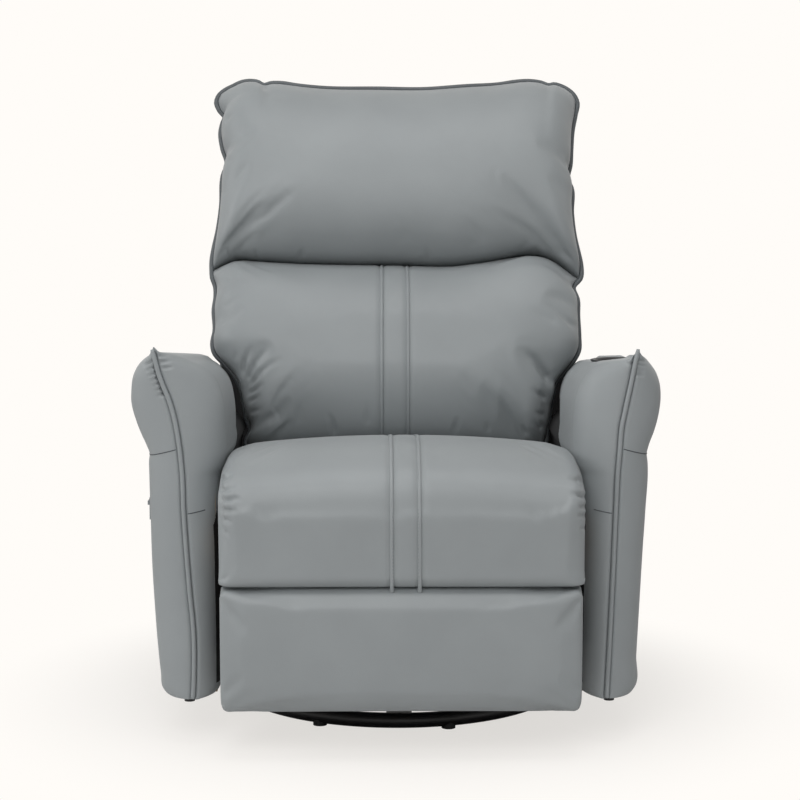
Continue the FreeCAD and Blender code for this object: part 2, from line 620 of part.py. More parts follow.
def seat_profile(inset, x):
    soft = 1 - inset / 2
    front = S.seat_front + S.seat_side_draw * inset
    rear = S.seat_rear - S.seat_side_draw / 2 * inset
    drop = S.seat_side_drop * inset
    return [
        (apron_rear, seat_bottom, 0),
        (rear, seat_bottom, 0),
        (rear, S.seat_rear_top - drop, S.seat_crown * (1 - inset)),
        (S.seat_front + S.seat_nose, S.seat_top - drop, S.seat_nose_swell * soft),
        (front, S.apron_bottom + S.apron_belly - drop / 3, S.apron_swell * soft),
        (front + S.apron_tuck, S.apron_bottom, 0),
        (apron_rear, S.apron_bottom, 0)]


shaped("seat_cushion", crossways(S.seat_half, seat_profile))

# Linkage layers outwards from the seat plates: tilt links, rear links, front links, stay links
LAYER = "link_t + layer_gap"
TILT_IN = "plate_in"
REAR_IN = f"plate_in + {LAYER}"
FRONT_IN = f"plate_in + 2 * ({LAYER})"
STAY_IN = f"plate_in + 3 * ({LAYER})"
HOLE = "pin_r + fit"


def polar(origin, angle, along, across=0):
    c, s = math.cos(angle), math.sin(angle)
    return (origin[0] + along * c - across * s, origin[1] + along * s + across * c)


seat_pivot = (S.seat_pivot_y, S.seat_pivot_z)
stay_pivot = (S.stay_pivot_y, S.stay_pivot_z)
toe = (S.toe_y, S.toe_z)
tip = (S.tip_y, S.tip_z)
rear_turn = math.radians(S.rear_angle)
knee = polar(seat_pivot, rear_turn, S.rear_link)
front_turn = math.atan2(toe[1] - knee[1], toe[0] - knee[0])
stay_joint = polar(knee, front_turn, S.stay_along, S.stay_off)
tilt_joint = polar(seat_pivot, rear_turn, S.tilt_along, S.tilt_off)
bar_at = polar(seat_pivot, rear_turn, S.bar_along)
hinge = (S.hinge_y, S.hinge_z)


def anticlockwise(*centres):
    """Bosses of the links' end radius, in an order that turns anticlockwise."""
    mid_a = sum(c[0] for c in centres) / len(centres)
    mid_b = sum(c[1] for c in centres) / len(centres)
    ordered = sorted(centres, key=lambda c: math.atan2(c[1] - mid_b, c[0] - mid_a))
    return [(a, b, S.boss_r) for a, b in ordered]


# Seat plates: a strip along the rails back to the hinge, and a lug down to the rear link
STRIP_R = 20.0
LUG_R = 14.0
strip_z = S.tube_z + S.tube_w + S.rail_deep / 2
for name, side in SIDES:
    strip = side_plate(f"strip_{name}", side, "plate_in",
                       [(S.seat_pivot_y, strip_z, STRIP_R), (*hinge, S.bracket_r)], [(*hinge, HOLE)])
    lug = side_plate(f"lug_{name}", side, "plate_in",
                     [(*seat_pivot, LUG_R), (S.seat_pivot_y, strip_z, STRIP_R)], [(*seat_pivot, HOLE)])
    piece(fuse(f"seat_plate_{name}", strip, lug), f"seat_plate_{name}")

# Base plates: tie the cross tubes' ends to the arms and carry the stay links
tube_mid = S.tube_z + S.tube_w / 2
plates = []
for name, side in SIDES:
    bosses = [(*stay_pivot, S.base_boss_r), (S.tube_y, tube_mid, S.base_boss_r)]
    holes = [(*stay_pivot, HOLE)]
    holes += [(sign * S.arm_bolt_y, S.arm_bolt_z, HOLE) for sign in (-1, 1)]
    plates.append(side_plate(f"base_plate_{name}", side, "outer_in", bosses, holes))
piece(group("base_plates", plates), "base_plates")

# Links
stays, tilts = [], []
for name, side in SIDES:
    rear = side_plate(f"rear_link_{name}", side, REAR_IN, anticlockwise(seat_pivot, knee, tilt_joint),
                      [(*seat_pivot, HOLE), (*knee, HOLE), (*tilt_joint, HOLE)])
    piece(rear, f"rear_link_{name}")
    front = side_plate(f"front_link_{name}", side, FRONT_IN, anticlockwise(knee, toe, stay_joint),
                       [(*knee, HOLE), (*toe, HOLE), (*stay_joint, HOLE)])
    piece(front, f"front_link_{name}")
    stays.append(side_plate(f"stay_link_{name}", side, STAY_IN, anticlockwise(stay_pivot, stay_joint),
                            [(*stay_pivot, HOLE), (*stay_joint, "pin_r + stay_play")]))
    tilts.append(side_plate(f"tilt_link_{name}", side, TILT_IN, anticlockwise(tilt_joint, tip),
                            [(*tilt_joint, HOLE), (*tip, "pin_r + tilt_play")]))
piece(group("stay_links", stays), "stay_links")
piece(group("tilt_links", tilts), "tilt_links")
piece(rod("footrest_cross_tube", "bar_r", f"2 * ({REAR_IN})",
          (f"0 - ({REAR_IN})", str(bar_at[0]), str(bar_at[1])), "x"), "footrest_cross_tube")


def pivot_pin(name, side, at, inner, outer, head):
    """A pin from inner to outer, with a head past its inner end, its outer end, or neither."""
    y, z = str(at[0]), str(at[1])
    solids = [rod(name + "_shank", "pin_r", f"{outer} - ({inner})",
                  (mirrored(side, inner, f"{outer} - ({inner})"), y, z), "x")]
    if head == "inner":
        start = f"{inner} - pin_head_t"
        solids.append(rod(name + "_head", "pin_head_r", "pin_head_t",
                          (mirrored(side, start, "pin_head_t"), y, z), "x"))
    if head == "outer":
        solids.append(rod(name + "_head", "pin_head_r", "pin_head_t",
                          (mirrored(side, outer, "pin_head_t"), y, z), "x"))
    return fuse(name, *solids) if len(solids) > 1 else solids[0]


PLATE_OUT = "outer_in + link_t"
PINS = {
    "seat_pins": [(seat_pivot, "plate_in", f"{REAR_IN} + link_t", "inner"),
                  (stay_pivot, STAY_IN, PLATE_OUT, "outer"),
                  (hinge, "bracket_in", "plate_in + link_t", "outer")],
    "rear_link_pins": [(knee, REAR_IN, f"{FRONT_IN} + link_t", ""),
                       (tilt_joint, "plate_in - layer_gap", f"{REAR_IN} + link_t", "inner")],
    "front_link_pins": [(toe, REAR_IN, f"{FRONT_IN} + link_t", "outer"),
                        (stay_joint, FRONT_IN, f"{STAY_IN} + link_t + layer_gap", "outer")],
    "footrest_pins": [(tip, "plate_in - layer_gap", f"{REAR_IN} + link_t", "inner")],
}
for node, rows in PINS.items():
    made = []
    for number, (at, inner, outer, head) in enumerate(rows):
        for name, side in SIDES:
            made.append(pivot_pin(f"{node}{number}_{name}", side, at, inner, outer, head))
    piece(group(node, made), node)

# Footrest: board, angle brackets and pad
board_front = "board_rear - board_t"
piece(box("footrest_board",
          ("2 * (foot_half - board_margin)", "board_t", "foot_top - foot_bottom - 2 * board_margin"),
          ("board_margin - foot_half", board_front, "foot_bottom + board_margin")), "footrest_board")
BRACKET_END_R = 6.0
bracket_low = S.toe_z - S.bracket_drop
bracket_high = S.tip_z + S.bracket_rise
for name, side in SIDES:
    edge_y = S.board_rear + BRACKET_END_R
    bosses = [(edge_y, bracket_low, BRACKET_END_R), (*tip, S.boss_r), (edge_y, bracket_high, BRACKET_END_R)]
    web = side_plate(f"web_{name}", side, REAR_IN, bosses, [(*toe, HOLE), (*tip, HOLE)])
    flange_in, flange_wide = f"{REAR_IN} - bracket_flange", "bracket_flange + link_t"
    flange = box(f"flange_{name}", (flange_wide, "link_t", str(bracket_high - bracket_low)),
                 (mirrored(side, flange_in, flange_wide), "board_rear", str(bracket_low)))
    piece(fuse(f"footrest_bracket_{name}", web, flange), f"footrest_bracket_{name}")


def foot_profile(inset, x):
    rear = S.board_rear - S.board_t - S.soft_gap
    front = S.foot_front + S.foot_draw * inset
    low = S.foot_bottom + S.foot_corner * inset
    swell = S.foot_swell * (1 - inset / 2)
    return [
        (front + S.foot_tuck, low, 0),
        (rear, low, 0),
        (rear, S.foot_top, 0),
        (front + S.foot_tuck, S.foot_top, swell),
        (front, (S.foot_top + S.foot_bottom) / 2, swell)]


shaped("footrest_pad", crossways(S.foot_half, foot_profile))

# Arms: a ribbed wooden frame inside the padding
def arm_frame_boxes(side, gap):
    """Panel, posts and ribs of an arm frame as (name, size, corner), each grown by gap on every side."""
    long, tall = "arm_frame_rear - arm_frame_front", "arm_frame_top - arm_frame_bottom"
    rib_in = mirrored(side, "arm_in + arm_board", "arm_rib")
    rows = [("panel", ("arm_board", long, tall),
             (mirrored(side, "arm_in", "arm_board"), "arm_frame_front", "arm_frame_bottom"))]
    for end, y in (("front", "arm_frame_front"), ("rear", "arm_frame_rear - arm_rib_t")):
        rows.append((f"post_{end}", ("arm_rib", "arm_rib_t", tall), (rib_in, y, "arm_frame_bottom")))
    for end, z in (("low", "arm_frame_bottom"), ("high", "arm_frame_top - arm_rib_t")):
        rows.append((f"rib_{end}", ("arm_rib", long, "arm_rib_t"), (rib_in, "arm_frame_front", z)))
    return [(name, [f"{text} + 2 * {gap}" for text in size], [f"{text} - {gap}" for text in corner])
            for name, size, corner in rows]


for name, side in SIDES:
    parts = [box(f"{part}_{name}", size, corner) for part, size, corner in arm_frame_boxes(side, "0")]
    frame = fuse(f"arm_frame_raw_{name}", *parts)
    bores = []
    for number, sign in enumerate((-1, 1)):
        bores.append(rod(f"bolt_bore_{name}{number}", HOLE, "arm_board + 2",
                         (mirrored(side, "arm_in - 1", "arm_board + 2"), f"{sign} * arm_bolt_y",
                          "arm_bolt_z"), "x"))
    if side < 0:
        bores.append(rod("cable_bore_panel", "cable_r + cable_bore", "arm_board + 2",
                         (mirrored(side, "arm_in - 1", "arm_board + 2"), "release_y", "cable_end_z"), "x"))
    piece(cut(f"arm_frame_{name}", frame, *bores), f"arm_frame_{name}")

bolts = []
for name, side in SIDES:
    for number, sign in enumerate((-1, 1)):
        y, label = f"{sign} * arm_bolt_y", f"{name}{number}"
        head = rod(f"bolt_head_{label}", "pin_head_r", "pin_head_t",
                   (mirrored(side, "outer_in - pin_head_t", "pin_head_t"), y, "arm_bolt_z"), "x")
        long = "arm_in - outer_in + arm_bolt_reach"
        shank = rod(f"bolt_shank_{label}", "pin_r", long,
                    (mirrored(side, "outer_in", long), y, "arm_bolt_z"), "x")
        wide = f"arm_in - ({PLATE_OUT})"
        collar = rod(f"bolt_collar_{label}", "pin_head_r", wide,
                     (mirrored(side, PLATE_OUT, wide), y, "arm_bolt_z"), "x")
        bolts.append(fuse(f"bolt_{label}", head, shank, collar))
piece(group("arm_bolts", bolts), "arm_bolts")


NOSE_TURNS = (90, 64, 42, 22, 0)
HEEL_TURNS = (0, 45, 90)


def arm_shape():
    """Front-view sections along the +X arm: rounded nose, swollen pillow, top that falls to the rear."""
    long = S.arm_rear - S.arm_front
    stations = []
    for turn in NOSE_TURNS:
        ahead, beside = 1 - math.sin(math.radians(turn)), 1 - math.cos(math.radians(turn))
        stations.append((S.arm_nose * ahead, S.arm_nose * beside))
    for turn in HEEL_TURNS:
        ahead, beside = 1 - math.sin(math.radians(turn)), 1 - math.cos(math.radians(turn))
        stations.append((long - S.arm_heel * ahead, S.arm_heel * beside))
    wires = []
    for along, inset in stations:
        y = S.arm_front + along
        fall = S.arm_fall * along + inset / 2
        points = [
            (S.arm_in + inset, S.arm_bottom, 0),
            (S.arm_foot - inset, S.arm_bottom, S.arm_side_swell),
            (S.arm_waist - inset, S.arm_seam_z, S.arm_bulge),
            (S.arm_waist - inset, S.arm_shoulder_z - fall, S.arm_top_swell),
            (S.arm_inner_x + inset / 2, S.arm_inner_z - fall, S.arm_inner_swell),
            (S.arm_in + inset, S.arm_elbow_z - fall, 0)]
        wires.append(section(points, lambda a, b, y=y: V(a, y, b)))
    return Part.makeLoft(wires, True, True)


def cable_shape(radius):
    """From the bezel into the arm, down inside it, then in to the base plate."""
    r, y = S.cable_bend_r, S.release_y
    run_x = -S.cable_x
    start_x, end_x = -(S.bezel_out - S.bezel_deep), -(S.outer_in + S.link_t)
    diag = r * (1 - math.sqrt(0.5))
    edges = [
        Part.LineSegment(V(start_x, y, S.release_z), V(run_x - r, y, S.release_z)),
        Part.Arc(V(run_x - r, y, S.release_z), V(run_x - diag, y, S.release_z - diag),
                 V(run_x, y, S.release_z - r)),
        Part.LineSegment(V(run_x, y, S.release_z - r), V(run_x, y, S.cable_end_z + r)),
        Part.Arc(V(run_x, y, S.cable_end_z + r), V(run_x + diag, y, S.cable_end_z + diag),
                 V(run_x + r, y, S.cable_end_z)),
        Part.LineSegment(V(run_x + r, y, S.cable_end_z), V(end_x, y, S.cable_end_z))]
    return wire_tube([edge.toShape() for edge in edges], radius)


CLEAR = 60.0
for name, side in SIDES:
    padding = doc.addObject("Part::Feature", f"padding_{name}")
    padding.Shape = arm_shape() if side > 0 else arm_shape().mirror(V(), V(1, 0, 0))
    tools = [box(f"{part}_room_{name}", size, corner)
             for part, size, corner in arm_frame_boxes(side, "soft_gap")]
    for number, sign in enumerate((-1, 1)):
        long = "arm_board + arm_bolt_reach"
        tools.append(rod(f"bolt_room_{name}{number}", HOLE, long,
                         (mirrored(side, "arm_in", long), f"{sign} * arm_bolt_y", "arm_bolt_z"), "x"))
    if side > 0:
        tools.append(rod("cup_room", "cup_r + cup_wall + soft_gap", f"cup_deep + {CLEAR}",
                         ("cup_x", "cup_y", "cup_top - cup_deep - cup_wall - soft_gap")))
        tools.append(rod("rim_room", "cup_rim_r + soft_gap", str(CLEAR),
                         ("cup_x", "cup_y", "cup_top - cup_rim_t - soft_gap")))
    else:
        tools.append(box("bezel_room", (f"bezel_deep + {CLEAR} + soft_gap", "2 * (bezel_half + soft_gap)",
                                        "2 * (bezel_tall + soft_gap)"),
                         (f"0 - bezel_out - {CLEAR}", "release_y - bezel_half - soft_gap",
                          "release_z - bezel_tall - soft_gap")))
        cable_room = doc.addObject("Part::Feature", "cable_room")
        cable_room.Shape = cable_shape(S.cable_r + S.cable_bore)
        tools.append(cable_room)
    piece(cut(f"arm_pad_{name}", padding, *tools), f"arm_pad_{name}")

# Glides under the arms
nubs = []
for name, side in SIDES:
    for end, y in (("front", "(arm_front + arm_frame_front) / 2"),
                   ("rear", "(arm_rear + arm_frame_rear) / 2")):
        x = f"{side} * (arm_in + arm_foot) / 2"
        nubs.append(rod(f"nub_{name}_{end}", "nub_r", "nub_t", (x, y, "arm_bottom - nub_t")))
piece(group("arm_glides", nubs), "arm_glides")

# Cup holder: a turned cup with a flat rim
cup_out, cup_low = S.cup_r + S.cup_wall, -S.cup_deep - S.cup_wall
cup = revolved("cup_holder", [
    (0, cup_low), (cup_out, cup_low), (cup_out, -S.cup_rim_t), (S.cup_rim_r, -S.cup_rim_t),
    (S.cup_rim_r, 0), (S.cup_r, 0), (S.cup_r, -S.cup_deep), (0, -S.cup_deep)])
place(cup, "cup_x", "cup_y", "cup_top")
piece(cup, "cup_holder")

# Release: bezel with a well, and a lipped paddle that turns on its lower edge
bezel = box("bezel_block", ("bezel_deep", "2 * bezel_half", "2 * bezel_tall"),
            ("0 - bezel_out", "release_y - bezel_half", "release_z - bezel_tall"))
well_y, well_z = "(bezel_half - bezel_wall)", "(bezel_tall - bezel_wall)"
well = box("bezel_well", ("bezel_deep - bezel_floor + 1", f"2 * {well_y}", f"2 * {well_z}"),
           ("0 - bezel_out - 1", f"release_y - {well_y}", f"release_z - {well_z}"))
pin_x = "0 - bezel_out + paddle_t - paddle_pin_r"
pin_z = f"release_z - {well_z} + paddle_gap + paddle_pin_r"
paddle_half = f"({well_y} - paddle_gap)"
pin_half = f"({paddle_half} + paddle_gap + paddle_pin_end)"
pin_hole = rod("paddle_pin_hole", "paddle_pin_r + fit", f"2 * {pin_half} + 1",
               (pin_x, f"release_y - {pin_half} - 0.5", pin_z), "y")
piece(cut("release_bezel", bezel, well, pin_hole), "release_bezel")
paddle_tall = f"2 * ({well_z} - paddle_gap) - paddle_pin_r"
flap = box("paddle_flap", ("paddle_t", f"2 * {paddle_half}", paddle_tall),
           ("0 - bezel_out", f"release_y - {paddle_half}", pin_z))
lip = box("paddle_lip", ("paddle_t + paddle_lip", f"2 * {paddle_half}", "paddle_lip_tall"),
          ("0 - bezel_out - paddle_lip", f"release_y - {paddle_half}",
           f"{pin_z} + {paddle_tall} - paddle_lip_tall"))
pin = rod("paddle_pin", "paddle_pin_r", f"2 * {pin_half}", (pin_x, f"release_y - {pin_half}", pin_z), "y")
piece(fuse("release_paddle", flap, lip, pin), "release_paddle")


shaped("release_cable", cable_shape(S.cable_r))

# Back frame, in the leaning frame of the back
brackets = []
for name, side in SIDES:
    post = doc.addObject("Part::Box", f"back_post_{name}")
    for prop, text in (("Length", "post_w"), ("Width", "post_t"), ("Height", "post_high - post_low")):
        bind(post, prop, text)
    lean(post, mirrored(side, "bracket_in - post_w", "post_w"), "0 - post_t / 2", "post_low")
    piece(post, f"back_post_{name}")
    bosses = [(0, 0, S.bracket_r), (0, S.bracket_long, S.bracket_tip_r)]
    bracket = padded_sketch(f"back_bracket_{name}", "YZ_Plane", hull_edges(bosses), "link_t", [(0, 0, HOLE)])
    lean(bracket, mirrored(side, "bracket_in", "link_t"))
    brackets.append(bracket)
piece(group("back_brackets", brackets), "back_brackets")
for place_name, z in (("top", "post_high - cross_rail"), ("middle", "mid_rail_z"), ("bottom", "low_rail_z")):
    rail = doc.addObject("Part::Box", f"back_rail_{place_name}")
    for prop, text in (("Length", "2 * (bracket_in - post_w)"), ("Width", "post_t"),
                       ("Height", "cross_rail")):
        bind(rail, prop, text)
    lean(rail, "post_w - bracket_in", "0 - post_t / 2", z)
    piece(rail, f"back_rail_{place_name}")
straps = []
for k in range(int(S.strap_count)):
    strap = doc.addObject("Part::Box", f"strap{k}")
    for prop, text in (("Length", "2 * bracket_in"), ("Width", "strap_t"), ("Height", "strap_w")):
        bind(strap, prop, text)
    lean(strap, "0 - bracket_in", "0 - post_t / 2 - strap_t", f"strap_low + strap_pitch * {k}")
    straps.append(strap)
piece(group("back_webbing", straps), "back_webbing")

# Outside back: a stiff panel behind the frame
c = S.panel_corner
panel_high = S.post_high
corners = [(-S.panel_half_low + c, S.panel_low + c, c), (S.panel_half_low - c, S.panel_low + c, c),
           (S.panel_half_top - c, panel_high - c, c), (-S.panel_half_top + c, panel_high - c, c)]
outside = padded_sketch("outside_back", "XZ_Plane", hull_edges(corners), "panel_t")
lean(outside, "0", "post_t / 2 + panel_t")
piece(outside, "outside_back")


def leaning(label, shape):
    solid = shaped(label, shape)
    solid.Placement = FreeCAD.Placement(V(0, S.hinge_y, S.hinge_z),
                                        FreeCAD.Rotation(V(-1, 0, 0), S.back_tilt))


# Pillows of the back: crowned fronts, drawn-in sides; the lumbar's wings reach out over the arms
head_rear = S.post_t / 2 + S.soft_gap
lumbar_rear = head_rear + S.strap_t


def lumbar_profile(inset, x):
    out = max(0.0, (x - S.back_half_low) / (S.back_half - S.back_half_low))
    turn = max(0.0, (x - S.round_from) / (S.back_half - S.round_from))
    away = 1 - math.sqrt(1 - min(turn, 1.0) ** 2)
    low = S.lumbar_low + (S.wing_z - S.lumbar_low) * math.sqrt(out)
    high = S.crease_z - S.crease_gap / 2 - S.pillow_side_drop * inset
    front = S.lumbar_front - (S.lumbar_front - S.wing_front) * away
    lip = S.lumbar_lip * front / S.lumbar_front
    foot = S.lumbar_foot - (S.lumbar_foot - S.wing_foot) * min(1.0, 2 * math.sqrt(out))
    swell = S.lumbar_swell * (1 - inset / 2)
    return [
        (-foot, low, 0),
        (-lumbar_rear, low, 0),
        (-lumbar_rear, high, 0),
        (-lip, high, swell),
        (-front, (low + high) / 2 + S.lumbar_belly, swell)]


def head_profile(inset, x):
    low = S.crease_z + S.crease_gap / 2 + S.pillow_side_drop * inset
    high = S.head_top - S.head_cap * inset
    over = S.post_high + S.head_clear
    rear = S.head_over - S.pillow_side_drop * inset
    swell = S.head_swell * (1 - inset / 2)
    return [
        (-S.head_lip + S.head_draw / 2 * inset, low, 0),
        (-head_rear, low, 0),
        (-head_rear, over, 0),
        (rear, over, 0),
        (rear, high - S.head_cap * (1 - inset / 2), swell),
        (-S.head_brow, high, swell),
        (-S.head_front + S.head_draw * inset, (low + high) / 2, swell)]


ACROSS_WINGS = (0, 0.4, 0.56, 0.65, 0.71, 0.75, 0.766, 0.775, 0.79, 0.82, 0.86, 0.9, 0.94, 0.97, 0.99, 1)
leaning("lumbar_cushion", crossways(S.back_half, lumbar_profile, ACROSS_WINGS, ruled=True))
leaning("head_cushion", crossways(S.back_half, head_profile))

doc.recompute()
failed = [o.Name for o in doc.Objects if "Invalid" in o.State or "Error" in o.State]
failed += [o.Label for o in PIECES if o.Shape.isNull() or not o.Shape.isValid()]
if failed:
    raise RuntimeError(f"failed objects: {failed}")

os.makedirs("parts", exist_ok=True)
for solid in PIECES:
    solid.Shape.exportStep(f"parts/{solid.Label}.step")
    print(solid.Label, len(solid.Shape.Solids), round(solid.Shape.Volume / 1000, 1), "cm3")
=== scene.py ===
import json
import math

import bmesh
import bpy
import numpy as np
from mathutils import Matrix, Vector
from mathutils.bvhtree import BVHTree


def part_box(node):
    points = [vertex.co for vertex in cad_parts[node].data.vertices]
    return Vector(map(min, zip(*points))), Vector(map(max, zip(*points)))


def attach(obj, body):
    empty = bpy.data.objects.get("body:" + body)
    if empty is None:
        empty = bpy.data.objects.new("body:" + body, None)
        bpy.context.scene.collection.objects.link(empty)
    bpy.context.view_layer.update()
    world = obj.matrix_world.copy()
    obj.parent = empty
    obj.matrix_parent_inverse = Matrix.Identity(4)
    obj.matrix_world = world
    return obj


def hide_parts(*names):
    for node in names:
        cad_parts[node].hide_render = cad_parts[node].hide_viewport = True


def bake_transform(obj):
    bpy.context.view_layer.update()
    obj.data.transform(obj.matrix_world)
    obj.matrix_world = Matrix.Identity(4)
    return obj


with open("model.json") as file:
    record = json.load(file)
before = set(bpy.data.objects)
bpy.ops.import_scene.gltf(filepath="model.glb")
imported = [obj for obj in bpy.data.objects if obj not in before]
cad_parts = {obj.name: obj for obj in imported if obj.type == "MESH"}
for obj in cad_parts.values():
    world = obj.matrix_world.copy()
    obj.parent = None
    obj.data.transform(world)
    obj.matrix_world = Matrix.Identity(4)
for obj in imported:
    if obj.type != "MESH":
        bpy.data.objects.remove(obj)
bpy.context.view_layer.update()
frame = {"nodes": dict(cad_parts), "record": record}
SCENE = bpy.context.scene


def add_object(name, data):
    made = bpy.data.objects.new(name, data)
    SCENE.collection.objects.link(made)
    return made


# Camera: place, turn and lens that give the picture's view

CAMERA_DISTANCE = 3.284
CAMERA_HEIGHT = 0.836
CAMERA_SIDE = 0.0039
CAMERA_TURN = math.radians(-0.55)
CAMERA_PITCH = math.radians(5.98)
PICTURE = 800
FOCAL_PIXELS = 1968.9
SENSOR = 36.0

camera_data = bpy.data.cameras.new("camera")
camera_data.sensor_width = SENSOR
camera_data.lens = SENSOR * FOCAL_PIXELS / PICTURE
camera = add_object("camera", camera_data)
camera.location = (CAMERA_DISTANCE * math.sin(CAMERA_TURN) + CAMERA_SIDE,
                   -CAMERA_DISTANCE * math.cos(CAMERA_TURN), CAMERA_HEIGHT)
camera.rotation_euler = (math.pi / 2 - CAMERA_PITCH, 0.0, CAMERA_TURN)
SCENE.camera = camera

EYE = np.array(camera.location)
RIGHT = np.array([math.cos(CAMERA_TURN), math.sin(CAMERA_TURN), 0.0])
AHEAD = np.array([-math.sin(CAMERA_TURN) * math.cos(CAMERA_PITCH),
                  math.cos(CAMERA_TURN) * math.cos(CAMERA_PITCH), -math.sin(CAMERA_PITCH)])
UPWARD = np.cross(RIGHT, AHEAD)


def in_picture(points):
    """Pixels at which points show in the picture."""
    ray = points - EYE
    deep = ray @ AHEAD
    return np.stack([PICTURE / 2 + FOCAL_PIXELS * (ray @ RIGHT) / deep,
                     PICTURE / 2 - FOCAL_PIXELS * (ray @ UPWARD) / deep], axis=1)


# Curves and meshes

def through(points, at):
    """Values at the given places of a smooth curve through (place, value) points."""
    place, value = np.array(points, float).T
    slope = np.gradient(value, place)
    at = np.clip(at, place[0], place[-1])
    i = np.clip(np.searchsorted(place, at) - 1, 0, len(place) - 2)
    step = place[i + 1] - place[i]
    t = (at - place[i]) / step
    return ((2 * t**3 - 3 * t**2 + 1) * value[i] + (t**3 - 2 * t**2 + t) * step * slope[i]
            + (3 * t**2 - 2 * t**3) * value[i + 1] + (t**3 - t**2) * step * slope[i + 1])


def resample(points, spacing):
    """Points at even spacing along a smooth curve through the given ones."""
    points = np.array(points, float)
    length = np.r_[0, np.cumsum(np.linalg.norm(np.diff(points, axis=0), axis=1))]
    at = np.linspace(0, length[-1], max(3, int(round(length[-1] / spacing)) + 1))
    return np.stack([through(np.stack([length, column], 1), at) for column in points.T], 1)


def crowd(count, share):
    """Places from 0 to 1 that crowd towards both ends."""
    t = np.linspace(-1, 1, count)
    return (1 + share * np.sin(t * math.pi / 2) + (1 - share) * t) / 2


def rising(value, start, width):
    """0 to 1 as a value rises over a width from a start."""
    return np.clip((value - start) / width, 0, 1)


def fading(value, width):
    """1 to 0 as a value grows from nothing to a width."""
    return np.clip(1 - value / width, 0, 1)


def unit(rows):
    """Rows of numbers scaled to length one."""
    return rows / np.maximum(np.linalg.norm(rows, axis=1), 1e-9)[:, None]


def mm(*pairs):
    """Pairs of metres from pairs of millimetres."""
    return [(a / 1000, b / 1000) for a, b in pairs]


def swapped(pairs):
    return [(b, a) for a, b in pairs]


def grid_faces(rows, columns, wrap=False):
    """Quads of a grid of points, row by row."""
    faces = []
    for i in range(rows - 1):
        for j in range(columns if wrap else columns - 1):
            k = (j + 1) % columns
            faces.append((i * columns + j, i * columns + k, (i + 1) * columns + k, (i + 1) * columns + j))
    return faces


def grid_border(rows, columns):
    """Points round the edge of a grid, in order."""
    return (list(range(columns)) + [i * columns + columns - 1 for i in range(1, rows)]
            + [(rows - 1) * columns + j for j in range(columns - 2, -1, -1)]
            + [i * columns for i in range(rows - 2, 0, -1)])


def ring_faces(ring, fresh):
    """Quads between two closed rings of points."""
    count = len(ring)
    return [(ring[i], ring[(i + 1) % count], fresh[(i + 1) % count], fresh[i]) for i in range(count)]


def end_caps(rows, columns):
    """Faces that close both ends of a wrapped grid."""
    return [tuple(range(columns)), tuple(range((rows - 1) * columns, rows * columns))]


def turn_outwards(mesh, close=False):
    """Turns a mesh's faces outwards and shades them smooth; close first fills its open ends."""
    work = bmesh.new()
    work.from_mesh(mesh)
    if close:
        bmesh.ops.holes_fill(work, edges=[e for e in work.edges if e.is_boundary])
    bmesh.ops.recalc_face_normals(work, faces=work.faces)
    if work.calc_volume(signed=True) < 0:
        bmesh.ops.reverse_faces(work, faces=work.faces)
    work.to_mesh(mesh)
    work.free()
    mesh.polygons.foreach_set("use_smooth", [True] * len(mesh.polygons))


def mesh_piece(name, points, faces, material):
    """A smooth mesh object with its faces turned outwards."""
    mesh = bpy.data.meshes.new(name)
    mesh.from_pydata(np.asarray(points).tolist(), [], faces)
    turn_outwards(mesh)
    mesh.materials.append(material)
    return add_object(name, mesh)


def read_rows(source, field):
    values = np.empty(len(source) * 3)
    source.foreach_get(field, values)
    return values.reshape(-1, 3)


def points_of(mesh):
    return read_rows(mesh.vertices, "co")


def normals_of(mesh):
    return read_rows(mesh.vertex_normals, "vector")


def set_points(piece, points):
    piece.data.vertices.foreach_set("co", np.asarray(points).ravel())
    piece.data.update()


def evaluated(piece):
    return piece.evaluated_get(bpy.context.evaluated_depsgraph_get())


def subdivide(piece):
    """Applies one subdivision to a piece and closes its hidden ends."""
    modifier = piece.modifiers.new("subdivision", "SUBSURF")
    mesh = bpy.data.meshes.new_from_object(evaluated(piece))
    piece.modifiers.remove(modifier)
    piece.data = mesh
    turn_outwards(mesh, close=True)


CLOTH_FRAMES = 20
CLOTH = {"quality": 6, "mass": 0.25, "tension_stiffness": 18.0, "compression_stiffness": 18.0,
         "shear_stiffness": 8.0, "bending_stiffness": 0.6, "air_damping": 3.0, "use_pressure": True}


def inflate(piece, pinned, slack, pressure, ease, cap):
    """Swells a padded piece as cloth that is held at its seams, with extra cloth where slack is 1."""
    start = points_of(piece.data)
    pins = piece.vertex_groups.new(name="pins")
    pins.add(np.flatnonzero(pinned).tolist(), 1.0, "REPLACE")
    loose = piece.vertex_groups.new(name="loose")
    for i in np.flatnonzero(slack > 0.01):
        loose.add([int(i)], float(slack[i]), "REPLACE")
    modifier = piece.modifiers.new("cloth", "CLOTH")
    cloth = modifier.settings
    for setting, value in CLOTH.items():
        setattr(cloth, setting, value)
    cloth.uniform_pressure_force = pressure
    cloth.vertex_group_mass = "pins"
    cloth.vertex_group_shrink = "loose"
    cloth.shrink_min = 0.0
    cloth.shrink_max = -ease
    cloth.effector_weights.gravity = 0.0
    modifier.point_cache.frame_start = 1
    modifier.point_cache.frame_end = CLOTH_FRAMES
    for step in range(1, CLOTH_FRAMES + 1):
        SCENE.frame_set(step)
    move = points_of(evaluated(piece).data) - start
    piece.modifiers.remove(modifier)
    piece.vertex_groups.clear()
    SCENE.frame_set(1)
    far = np.linalg.norm(move, axis=1)
    set_points(piece, start + move * np.minimum(1.0, cap / np.maximum(far, 1e-9))[:, None])


